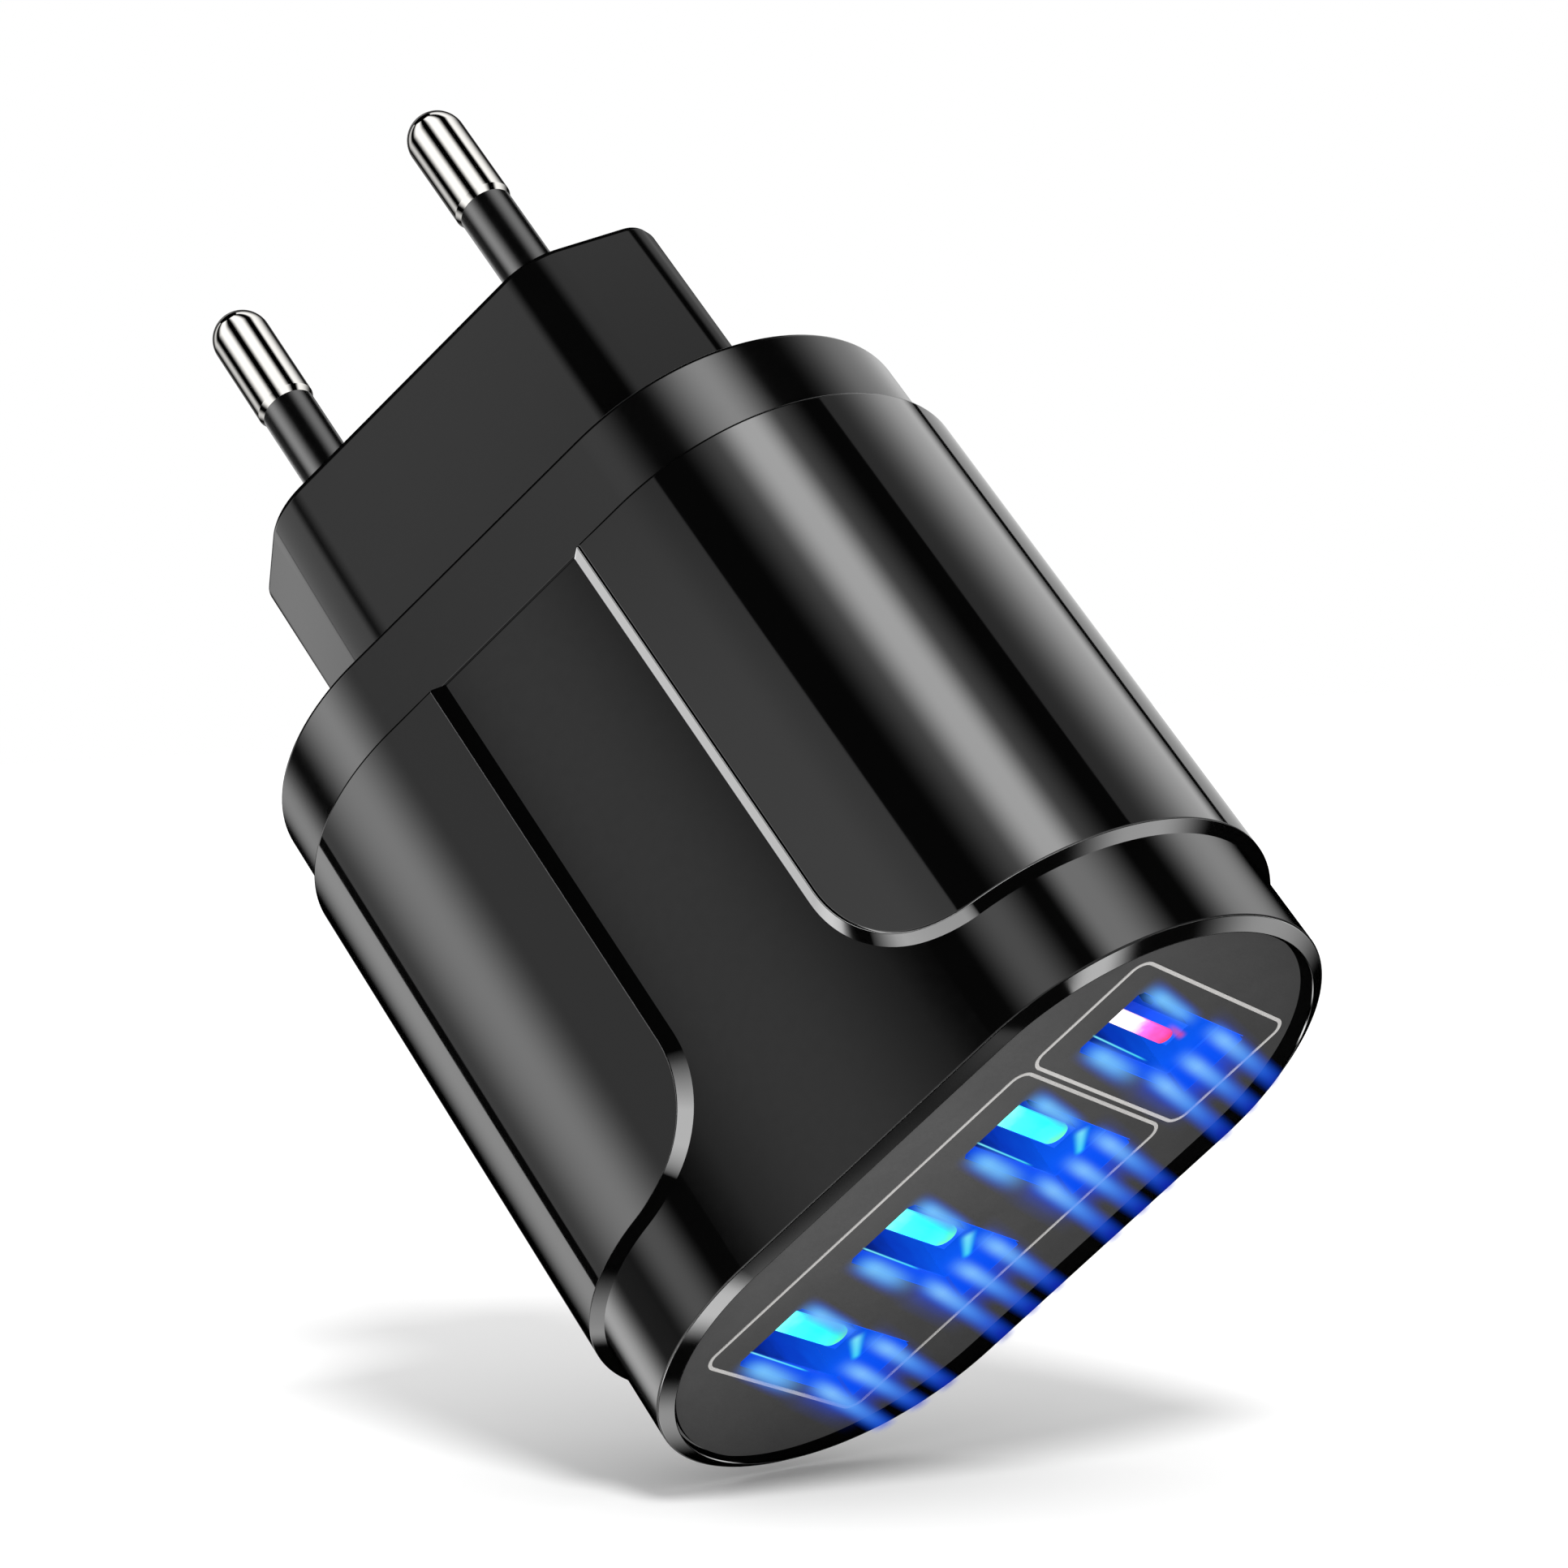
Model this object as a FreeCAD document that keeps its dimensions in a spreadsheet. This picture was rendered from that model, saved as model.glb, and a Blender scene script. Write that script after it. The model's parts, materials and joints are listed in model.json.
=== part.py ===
"""Four-port USB wall charger with a flat two-pin plug, as a parametric FreeCAD document.

The frame: the origin is the centre of the plug block's end face, between the two pins.
+Y runs along the pins, +X along the row of ports, and +Z out of the front broad face.
The ports face -Y, so a depth behind the plug face is a distance along -Y.
"""
import FreeCAD, Part
import math
import os
import Sketcher

doc = FreeCAD.newDocument("charger")
sheet = doc.addObject("Spreadsheet::Sheet", "sizes")

# Driving sizes, in millimetres
SIZES = {
    # Plug pins and their sleeves
    "pin_spacing": 19.0,
    "pin_diameter": 4.0,
    "pin_reach": 19.0,
    "pin_bevel": 0.24,
    "pin_bevel_length": 0.45,
    "pin_core_diameter": 2.8,
    "pin_tail": 6.0,
    "sleeve_length": 10.0,
    "sleeve_diameter": 3.68,
    "sleeve_lip_diameter": 3.92,
    "sleeve_lip_height": 0.7,
    "pin_gap": 0.03,
    "sleeve_gap": 0.05,
    # Plug block
    "block_width": 34.8,
    "block_thickness": 13.3,
    "block_flat": 23.6,
    "block_end": 2.2,
    "block_length": 18.7,
    "block_wall": 1.8,
    "block_fold_radius": 2.0,
    "block_edge_radius": 0.7,
    # Collar and body section
    "body_width": 48.6,
    "body_thickness": 28.6,
    "collar_length": 6.2,
    "collar_floor": 1.8,
    "collar_edge_radius": 0.4,
    "spigot_length": 3.5,
    "spigot_wall": 1.4,
    "spigot_gap": 0.06,
    # Main shell
    "shell_length": 44.4,
    "shell_wall": 1.8,
    "panel_rise": 0.75,
    "panel_length": 36.4,
    "panel_corner": 8.0,
    "strip_width": 11.3,
    "rim_bevel": 0.7,
    "rim_land": 0.4,
    "rail_spacing": 27.6,
    "rail_width": 1.2,
    "rail_start_gap": 1.0,
    "rail_end_gap": 4.1,
    "rail_gap": 0.1,
    # Port plate
    "plate_recess": 0.7,
    "plate_thickness": 1.6,
    "plate_gap": 0.08,
    "port_pitch": 9.27,
    "slot_height": 12.8,
    "slot_width": 5.2,
    "slot_corner": 0.3,
    # Sockets
    "socket_height": 13.1,
    "socket_width": 5.7,
    "socket_depth": 13.8,
    "socket_sheet": 0.3,
    "socket_gap": 0.1,
    "tongue_recess": 1.0,
    "tongue_height": 11.1,
    "tongue_thickness": 1.8,
    "tongue_offset": 0.5,
    "tongue_base": 3.4,
    "tongue_gap": 0.05,
    "contact_width": 1.0,
    "contact_thickness": 0.25,
    "contact_setback": 0.5,
    "contact_inner": 2.0,
    "contact_outer": 7.0,
    # Boards
    "board_thickness": 1.6,
    "board_corner": 1.5,
    "usb_board_width": 34.0,
    "usb_board_height": 19.0,
    "main_board_drop": 7.0,
    "main_board_gap": 1.0,
    "main_board_side_gap": 0.32,
    # Blades between the pins and the main board
    "blade_width": 3.0,
    "blade_thickness": 0.5,
    "blade_inset": 1.6,
    # Transformer
    "core_width": 20.0,
    "core_depth": 5.4,
    "core_leg": 2.8,
    "core_back": 2.8,
    "core_centre": 5.2,
    "core_rear_gap": 0.8,
    "core_front_gap": 0.4,
    "bobbin_height": 13.4,
    "bobbin_flange": 1.0,
    "bobbin_wall": 0.8,
    "bobbin_gap": 0.1,
    "winding_margin": 0.4,
    "winding_corner": 2.0,
    # Loose components on the main board
    "input_can_diameter": 8.0,
    "input_can_gap": 0.4,
    "input_can_inset": 1.0,
    "can_crimp_depth": 0.35,
    "can_crimp_place": 2.0,
    "can_crimp_width": 1.0,
    "output_can_diameter": 5.0,
    "output_can_height": 10.0,
    "output_can_spacing": 6.4,
    "output_row_gap": 0.8,
    "disc_diameter": 8.0,
    "disc_thickness": 3.4,
    "side_spacing": 23.0,
    "opto_width": 6.4,
    "opto_length": 4.6,
    "opto_height": 3.4,
    "rectifier_width": 7.6,
    "rectifier_length": 4.6,
    "rectifier_height": 2.6,
    "input_row_inset": 3.5,
    "fuse_diameter": 4.0,
    "fuse_height": 8.0,
    "inductor_diameter": 5.0,
    "inductor_waist": 3.6,
    "inductor_flange": 1.2,
    "inductor_height": 7.0,
    "input_spacing": 27.2,
    "controller_width": 4.9,
    "controller_length": 3.9,
    "controller_height": 1.5,
    "controller_place": 9.5,
    "switch_width": 6.5,
    "switch_length": 6.1,
    "switch_height": 2.3,
    "switch_inset": 5.5,
    # Small parts on the socket board
    "port_chip_width": 3.9,
    "port_chip_height": 4.0,
    "port_chip_thickness": 1.2,
    "port_chip_rise": 6.4,
    "led_width": 3.2,
    "led_height": 2.0,
    "led_thickness": 1.2,
    "led_rise": 8.0,
}

for row, (alias, value) in enumerate(SIZES.items(), start=1):
    sheet.set("A" + str(row), alias)
    sheet.set("B" + str(row), str(value))
    sheet.setAlias("B" + str(row), alias)
doc.recompute()

# Depths behind the plug face, as formulas on the sheet
RADIUS = "sizes.body_thickness / 2"
HALF_SPAN = "(sizes.body_width - sizes.body_thickness) / 2"
BORE_RADIUS = RADIUS + " - sizes.shell_wall"
SPIGOT_RADIUS = BORE_RADIUS + " - sizes.spigot_gap"
CAVITY_RADIUS = SPIGOT_RADIUS + " - sizes.spigot_wall"
RECESS_RADIUS = RADIUS + " - sizes.rim_bevel - sizes.rim_land"
FLOOR = "sizes.block_length + sizes.collar_floor"
SEAM = "sizes.block_length + sizes.collar_length"
RIM = SEAM + " + sizes.shell_length"
PANEL_END = SEAM + " + sizes.panel_length"
LEDGE = RIM + " - sizes.plate_recess - sizes.plate_thickness"
MOUTH = LEDGE + " - sizes.socket_gap"
USB_FRONT = MOUTH + " - sizes.socket_depth"
USB_BACK = USB_FRONT + " - sizes.board_thickness"
BOARD_START = FLOOR + " + sizes.main_board_gap"
BOARD_TOP = "-sizes.main_board_drop"
BOARD_UNDER = "-sizes.main_board_drop - sizes.board_thickness"
INPUT_ROW = BOARD_START + " + sizes.input_row_inset"
OUTPUT_ROW = USB_BACK + " - sizes.output_row_gap - sizes.output_can_diameter / 2"
CORE_REAR = INPUT_ROW + " + sizes.inductor_diameter / 2 + sizes.core_rear_gap"
CORE_FRONT = OUTPUT_ROW + " - sizes.output_can_diameter / 2 - sizes.core_front_gap"
CORE_LENGTH = "(" + CORE_FRONT + ") - (" + CORE_REAR + ")"
CORE_MIDDLE = "(" + CORE_FRONT + " + " + CORE_REAR + ") / 2"
CORE_AXIS = BOARD_TOP + " + sizes.bobbin_height / 2"
CONTACT_FACE = "sizes.tongue_thickness / 2 - sizes.tongue_offset"

nodes = []
gauge = doc.addObject("App::FeaturePython", "gauge")


def size(alias):
    """Read one plain size from the sheet."""
    return float(sheet.get(alias))


def bind(thing, prop, formula):
    """Bind a property of a document object to a formula on the sheet."""
    thing.setExpression(prop, formula)


def place(thing, east="0", depth="0", rise="0"):
    """Bind an object's position: along the port row, behind the plug face, and up."""
    bind(thing, "Placement.Base.x", east)
    bind(thing, "Placement.Base.y", "-(" + depth + ")")
    bind(thing, "Placement.Base.z", rise)


def keep(thing, label):
    """Name a finished piece, so that it is exported under that name."""
    thing.Label = label
    nodes.append(thing)
    return thing


def worth(formula):
    """The value that a formula on the sheet has now."""
    return float(gauge.evalExpression(formula))


def spot(across, up):
    """A sketch point from two formulas."""
    return FreeCAD.Vector(worth(across), worth(up), 0)


def pin_point(sketch, geo, pos, across, up):
    """Fix a sketch point by two signed distances from the sketch's origin."""
    for kind, formula in (("DistanceX", across), ("DistanceY", up)):
        index = sketch.addConstraint(Sketcher.Constraint(kind, -1, 1, geo, pos, worth(formula)))
        bind(sketch, "Constraints[" + str(index) + "]", formula)


def polygon(sketch, points):
    """Draw a closed polygon whose corners are formulas, each fixed by two distances."""
    count = len(points)
    for index in range(count):
        sketch.addGeometry(Part.LineSegment(spot(*points[index]), spot(*points[(index + 1) % count])))
    for index in range(count):
        after = (index + 1) % count
        sketch.addConstraint(Sketcher.Constraint("Coincident", index, 2, after, 1))
    for index, (across, up) in enumerate(points):
        pin_point(sketch, index, 1, across, up)
    return sketch


def slot_outline(sketch, half_span, radius):
    """Draw two half circles joined by two straight lines, tangent, about the sketch's origin."""
    span = "-(" + half_span + ")"
    drop = "-(" + radius + ")"
    facing = FreeCAD.Vector(0, 0, 1)
    right = Part.Circle(spot(half_span, "0"), facing, worth(radius))
    left = Part.Circle(spot(span, "0"), facing, worth(radius))
    sketch.addGeometry(Part.LineSegment(spot(span, radius), spot(half_span, radius)))
    sketch.addGeometry(Part.ArcOfCircle(right, -math.pi / 2, math.pi / 2))
    sketch.addGeometry(Part.LineSegment(spot(half_span, drop), spot(span, drop)))
    sketch.addGeometry(Part.ArcOfCircle(left, math.pi / 2, 3 * math.pi / 2))
    for one, one_end, two, two_end in ((0, 2, 1, 2), (1, 1, 2, 1), (2, 2, 3, 2), (3, 1, 0, 1)):
        sketch.addConstraint(Sketcher.Constraint("Tangent", one, one_end, two, two_end))
    pin_point(sketch, 1, 3, half_span, "0")
    pin_point(sketch, 3, 3, span, "0")
    index = sketch.addConstraint(Sketcher.Constraint("Radius", 1, worth(radius)))
    bind(sketch, "Constraints[" + str(index) + "]", radius)
    return sketch


def cross_sketch(name, depth):
    """A free sketch across the body at a depth: its X is +X, its Y is +Z and it faces -Y."""
    sketch = doc.addObject("Sketcher::SketchObject", name)
    turn = FreeCAD.Rotation(FreeCAD.Vector(1, 0, 0), 90)
    sketch.Placement = FreeCAD.Placement(FreeCAD.Vector(0, 0, 0), turn)
    bind(sketch, "Placement.Base.y", "-(" + depth + ")")
    return sketch


def slot_sketch(name, depth, radius):
    """The body's rounded section at a depth, with the given end radius."""
    return slot_outline(cross_sketch(name, depth), HALF_SPAN, radius)


def extrude(name, sketch, length, direction=(0, -1, 0)):
    """Extrude a closed free sketch into a solid."""
    solid = doc.addObject("Part::Extrusion", name)
    solid.Base = sketch
    solid.DirMode = "Custom"
    solid.Dir = FreeCAD.Vector(*direction)
    solid.Solid = True
    bind(solid, "LengthFwd", length)
    return solid


def slot_solid(name, start, end, radius):
    """A solid with the body's rounded section between two depths."""
    return extrude(name, slot_sketch(name + "_outline", start, radius), "(" + end + ") - (" + start + ")")


def slot_loft(name, start, start_radius, end, end_radius):
    """A solid between two rounded sections at two depths, with straight sides."""
    first = slot_sketch(name + "_first", start, start_radius)
    second = slot_sketch(name + "_second", end, end_radius)
    solid = doc.addObject("Part::Loft", name)
    solid.Sections = [first, second]
    solid.Solid = True
    solid.Ruled = True
    return solid


def fuse(name, pieces):
    """Join pieces into one solid."""
    joined = doc.addObject("Part::MultiFuse", name)
    joined.Shapes = pieces
    joined.Refine = True
    return joined


def cut(name, base, tool):
    """Take one piece out of another."""
    result = doc.addObject("Part::Cut", name)
    result.Base = base
    result.Tool = tool
    return result


def group(name, pieces):
    """Hold like pieces together as separate solids."""
    held = doc.addObject("Part::Compound", name)
    held.Links = pieces
    return held


def box(name, width, length, height, east, depth, rise):
    """A block centred on east, starting at depth and rise, with length along -Y."""
    block = doc.addObject("Part::Box", name)
    bind(block, "Length", width)
    bind(block, "Width", length)
    bind(block, "Height", height)
    place(block, "(" + east + ") - (" + width + ") / 2", "(" + depth + ") + (" + length + ")", rise)
    return block


def upright(name, diameter, height, east, depth, rise):
    """A standing cylinder on its base."""
    rod = doc.addObject("Part::Cylinder", name)
    bind(rod, "Radius", "(" + diameter + ") / 2")
    bind(rod, "Height", height)
    place(rod, east, depth, rise)
    return rod


def body_plane(body, role):
    """One of a body's own origin planes."""
    return [item for item in body.Origin.OriginFeatures if item.Role == role][0]


def body_sketch(body, name, role, offset=None):
    """A sketch on one of the body's own planes, moved along its normal by a formula."""
    sketch = body.newObject("Sketcher::SketchObject", name)
    sketch.AttachmentSupport = [(body_plane(body, role), "")]
    sketch.MapMode = "FlatFace"
    if offset is not None:
        bind(sketch, "AttachmentOffset.Base.z", offset)
    return sketch


def turned(name, points):
    """A body turned about its own Y axis from a half profile of (radius, along) corners."""
    body = doc.addObject("PartDesign::Body", name)
    sketch = polygon(body_sketch(body, name + "_profile", "XY_Plane"), points)
    turn = body.newObject("PartDesign::Revolution", name + "_turn")
    turn.Profile = sketch
    turn.ReferenceAxis = (sketch, ["V_Axis"])
    turn.Angle = 360.0
    return body


def port_east(index):
    """Place of a port along the row, counted from the +X end."""
    return "sizes.port_pitch * " + str(1.5 - index)


# Plug pins: a domed bare end on a thinner core
def plug_pin(name, side):
    """One plug pin, turned about its own axis."""
    body = doc.addObject("PartDesign::Body", name)
    sketch = body_sketch(body, name + "_profile", "XY_Plane")
    radius = "sizes.pin_diameter / 2"
    core = "sizes.pin_core_diameter / 2"
    shoulder = "sizes.pin_reach - sizes.pin_diameter / 2"
    points = [("0", "-sizes.pin_tail"), (core, "-sizes.pin_tail"), (core, "sizes.sleeve_length"),
              (radius + " - sizes.pin_bevel", "sizes.sleeve_length"),
              (radius, "sizes.sleeve_length + sizes.pin_bevel_length"), (radius, shoulder)]
    for index in range(5):
        sketch.addGeometry(Part.LineSegment(spot(*points[index]), spot(*points[index + 1])))
    dome = Part.Circle(spot("0", shoulder), FreeCAD.Vector(0, 0, 1), worth(radius))
    sketch.addGeometry(Part.ArcOfCircle(dome, 0, math.pi / 2))
    sketch.addGeometry(Part.LineSegment(spot("0", "sizes.pin_reach"), spot(*points[0])))
    for index in range(4):
        sketch.addConstraint(Sketcher.Constraint("Coincident", index, 2, index + 1, 1))
    sketch.addConstraint(Sketcher.Constraint("Coincident", 4, 2, 5, 1))
    sketch.addConstraint(Sketcher.Constraint("Coincident", 5, 2, 6, 1))
    sketch.addConstraint(Sketcher.Constraint("Coincident", 6, 2, 0, 1))
    for index in range(5):
        pin_point(sketch, index, 1, *points[index])
    pin_point(sketch, 4, 2, *points[5])
    pin_point(sketch, 5, 3, "0", shoulder)
    sketch.addConstraint(Sketcher.Constraint("PointOnObject", 5, 2, -2))
    turn = body.newObject("PartDesign::Revolution", name + "_turn")
    turn.Profile = sketch
    turn.ReferenceAxis = (sketch, ["V_Axis"])
    turn.Angle = 360.0
    bind(body, "Placement.Base.x", side + " * sizes.pin_spacing / 2")
    return keep(body, name)


def pin_sleeve(name, side):
    """One insulating sleeve, from inside the plug block's wall to the bare end of the pin."""
    inner = "sizes.pin_core_diameter / 2 + sizes.pin_gap"
    outer = "sizes.sleeve_diameter / 2"
    lip = "sizes.sleeve_lip_diameter / 2"
    points = [(inner, "-sizes.block_wall"), (lip, "-sizes.block_wall"), (lip, "sizes.sleeve_lip_height"),
              (outer, "sizes.sleeve_lip_height + (sizes.sleeve_lip_diameter - sizes.sleeve_diameter) / 2"),
              (outer, "sizes.sleeve_length"), (inner, "sizes.sleeve_length")]
    body = turned(name, points)
    bind(body, "Placement.Base.x", side + " * sizes.pin_spacing / 2")
    return keep(body, name)


for side_name, side_sign in (("left", "-1"), ("right", "1")):
    plug_pin("plug_pin_" + side_name, side_sign)
    pin_sleeve("pin_sleeve_" + side_name, side_sign)


# Rear housing: plug block, collar and spigot in one moulding
def hexagon(name, depth, flat, thickness, width, end):
    """The plug block's section: flat top and bottom, slanted sides and narrow ends."""
    points = [("-(" + flat + ")", thickness), (flat, thickness), (width, end), (width, "-(" + end + ")"),
              (flat, "-(" + thickness + ")"), ("-(" + flat + ")", "-(" + thickness + ")"),
              ("-(" + width + ")", "-(" + end + ")"), ("-(" + width + ")", end)]
    return polygon(cross_sketch(name, depth), points)


def edges_where(shape, test):
    """Numbers of a shape's edges that pass a test, counted from 1."""
    return [number for number, edge in enumerate(shape.Edges, start=1) if test(edge)]


def rounded(name, base, test, radius):
    """Round the edges of a solid that pass a test."""
    doc.recompute()
    result = doc.addObject("Part::Fillet", name)
    result.Base = base
    result.Edges = [(number, radius, radius) for number in edges_where(base.Shape, test)]
    return result


def runs_along(edge):
    """True for an edge that runs along Y."""
    span = edge.BoundBox
    return span.YLength > 1.0 and span.XLength < 0.01 and span.ZLength < 0.01


def lies_at(depth):
    """A test for edges that lie at one depth."""
    return lambda edge: abs(edge.BoundBox.YMax + depth) < 0.01 and abs(edge.BoundBox.YMin + depth) < 0.01


SLANT = math.sqrt(2.0) - 1.0
block_outline = hexagon("block_outline", "0", "sizes.block_flat / 2", "sizes.block_thickness / 2",
                        "sizes.block_width / 2", "sizes.block_end / 2")
block_plain = extrude("block_plain", block_outline, "sizes.block_length")
fold_limit = 0.45 * size("block_end") / math.tan(math.radians(22.5))
block_folded = rounded("block_folded", block_plain, runs_along, min(size("block_fold_radius"), fold_limit))
block_solid = rounded("block_solid", block_folded, lies_at(0.0), size("block_edge_radius"))
collar_plain = slot_solid("collar_plain", "sizes.block_length", SEAM, RADIUS)
collar_solid = rounded("collar_solid", collar_plain, lies_at(size("block_length")), size("collar_edge_radius"))
spigot_solid = slot_solid("spigot_solid", SEAM, SEAM + " + sizes.spigot_length", SPIGOT_RADIUS)
housing_solid = fuse("housing_solid", [block_solid, collar_solid, spigot_solid])
collar_cavity = slot_solid("collar_cavity", FLOOR, SEAM + " + sizes.spigot_length + 1", CAVITY_RADIUS)
inset = "sizes.block_wall * " + str(SLANT)
cavity_outline = hexagon("cavity_outline", "sizes.block_wall", "sizes.block_flat / 2 - " + inset,
                         "sizes.block_thickness / 2 - sizes.block_wall",
                         "sizes.block_width / 2 - sizes.block_wall",
                         "max(0.2; sizes.block_end / 2 - " + inset + ")")
block_cavity = extrude("block_cavity", cavity_outline, FLOOR + " - sizes.block_wall + 0.5")
pin_holes = []
for side_name, side_sign in (("left", "-1"), ("right", "1")):
    hole = doc.addObject("Part::Cylinder", "pin_hole_" + side_name)
    bind(hole, "Radius", "sizes.sleeve_lip_diameter / 2 + sizes.sleeve_gap")
    bind(hole, "Height", "sizes.block_wall + 2")
    hole.Placement.Rotation = FreeCAD.Rotation(FreeCAD.Vector(1, 0, 0), 90)
    place(hole, side_sign + " * sizes.pin_spacing / 2", "-1")
    pin_holes.append(hole)
housing_hollow = fuse("housing_hollow", [collar_cavity, block_cavity])
housing_tools = group("housing_tools", [housing_hollow] + pin_holes)
keep(cut("rear_housing", housing_solid, housing_tools), "rear_housing")

# Main shell: rounded tube, raised side panels, sunk strips front and back, bevelled rim
BEVEL_START = RIM + " - sizes.rim_bevel"
SLOPE_START = PANEL_END + " - sizes.panel_rise"
RAISED_RADIUS = RADIUS + " + sizes.panel_rise"
shell_tube = slot_solid("shell_tube", SEAM, BEVEL_START, RADIUS)
shell_bevel = slot_loft("shell_bevel", BEVEL_START, RADIUS, RIM, RADIUS + " - sizes.rim_bevel")
panel_straight = slot_solid("panel_straight", SEAM, SLOPE_START, RAISED_RADIUS)
panel_slope = slot_loft("panel_slope", SLOPE_START, RAISED_RADIUS, PANEL_END, RADIUS)
panel_whole = fuse("panel_whole", [panel_straight, panel_slope])
panel_core = slot_solid("panel_core", SEAM, PANEL_END, RADIUS)
panel_ring = cut("panel_ring", panel_whole, panel_core)

HALF_STRIP = "sizes.strip_width / 2"
OVER = "sizes.panel_rise + 1"
strip_tools = []
for face_name, face_sign in (("front", "1"), ("back", "-1")):
    low = face_sign + " * (" + RADIUS + " - 1)"
    high = face_sign + " * (" + RADIUS + " + " + OVER + ")"
    wide = HALF_STRIP + " + " + OVER
    narrow = HALF_STRIP + " - 1"
    corners = [("-(" + narrow + ")", low), (narrow, low), (wide, high), ("-(" + wide + ")", high)]
    strip_outline = polygon(cross_sketch("strip_outline_" + face_name, SEAM + " - 1"), corners)
    strip_tools.append(extrude("strip_" + face_name, strip_outline, "sizes.panel_length + 2"))
    for side_name, side_sign in (("left", "-1"), ("right", "1")):
        tag = face_name + "_" + side_name
        centre = side_sign + " * (" + HALF_STRIP + " + sizes.panel_corner)"
        corner_depth = PANEL_END + " - sizes.panel_corner"
        block = doc.addObject("Part::Box", "corner_block_" + tag)
        bind(block, "Length", "sizes.panel_corner + 2")
        bind(block, "Width", "sizes.panel_corner + 1")
        bind(block, "Height", OVER + " + 2")
        bottom = RADIUS + " - 2" if face_sign == "1" else "-(" + RADIUS + " + " + OVER + ")"
        start = HALF_STRIP + " - 2" if side_sign == "1" else "-(" + HALF_STRIP + " + sizes.panel_corner)"
        place(block, start, PANEL_END + " + 1", bottom)
        cone = doc.addObject("Part::Cone", "corner_cone_" + tag)
        wide_end = "sizes.panel_corner + 2"
        slim_end = "sizes.panel_corner - (" + OVER + ")"
        bind(cone, "Radius1", wide_end if face_sign == "1" else slim_end)
        bind(cone, "Radius2", slim_end if face_sign == "1" else wide_end)
        bind(cone, "Height", OVER + " + 2")
        place(cone, centre, corner_depth, bottom)
        strip_tools.append(cut("corner_" + tag, block, cone))
strip_tool = fuse("strip_tool", strip_tools)
side_panels = cut("side_panels", panel_ring, strip_tool)
shell_outside = fuse("shell_outside", [shell_tube, shell_bevel, side_panels])
shell_bore = slot_solid("shell_bore", SEAM + " - 1", LEDGE + " + 0.1", BORE_RADIUS)
plate_seat = slot_solid("plate_seat", LEDGE, RIM + " + 1", RECESS_RADIUS)
shell_hollow = fuse("shell_hollow", [shell_bore, plate_seat])
shell_open = cut("shell_open", shell_outside, shell_hollow)
rails = []
for side_name, side_sign in (("left", "-1"), ("right", "1")):
    rail_foot = "-(" + BORE_RADIUS + ") - sizes.shell_wall / 4"
    rail_top = BOARD_UNDER + " - sizes.rail_gap"
    rail_start = SEAM + " + sizes.spigot_length + sizes.rail_start_gap"
    rail_length = "(" + USB_BACK + " - sizes.rail_end_gap) - (" + rail_start + ")"
    rails.append(box("rail_" + side_name, "sizes.rail_width", rail_length,
                     "(" + rail_top + ") - (" + rail_foot + ")",
                     side_sign + " * sizes.rail_spacing / 2", rail_start, rail_foot))
keep(fuse("main_shell", [shell_open] + rails), "main_shell")

# Port plate, with one slot repeated along the row
plate = doc.addObject("PartDesign::Body", "port_panel")
plate_outline = body_sketch(plate, "plate_outline", "XZ_Plane", LEDGE)
slot_outline(plate_outline, HALF_SPAN, RECESS_RADIUS + " - sizes.plate_gap")
plate_pad = plate.newObject("PartDesign::Pad", "plate_pad")
plate_pad.Profile = plate_outline
bind(plate_pad, "Length", "sizes.plate_thickness")
doc.recompute()
slot_cut = body_sketch(plate, "slot_cut", "XZ_Plane", LEDGE + " - 1")
first_slot = port_east(3)
corner = "sizes.slot_corner"
half_wide = "sizes.slot_width / 2"
half_high = "sizes.slot_height / 2"
bevel_points = []
for across, up, order in ((1, 1, 0), (1, -1, 1), (-1, -1, 0), (-1, 1, 1)):
    near_side = (first_slot + " + " + str(across) + " * (" + half_wide + ")",
                 str(up) + " * (" + half_high + " - " + corner + ")")
    near_end = (first_slot + " + " + str(across) + " * (" + half_wide + " - " + corner + ")",
                str(up) + " * (" + half_high + ")")
    bevel_points += [near_end, near_side] if order == 0 else [near_side, near_end]
polygon(slot_cut, bevel_points)
slot_pocket = plate.newObject("PartDesign::Pocket", "slot_pocket")
slot_pocket.Profile = slot_cut
slot_pocket.Reversed = True
bind(slot_pocket, "Length", "sizes.plate_thickness + 2")
doc.recompute()
slot_row = plate.newObject("PartDesign::LinearPattern", "slot_row")
slot_row.Originals = [slot_pocket]
slot_row.Direction = (slot_cut, ["H_Axis"])
bind(slot_row, "Length", "sizes.port_pitch * 3")
slot_row.Occurrences = 4
plate.Tip = slot_row
keep(plate, "port_panel")

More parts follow.
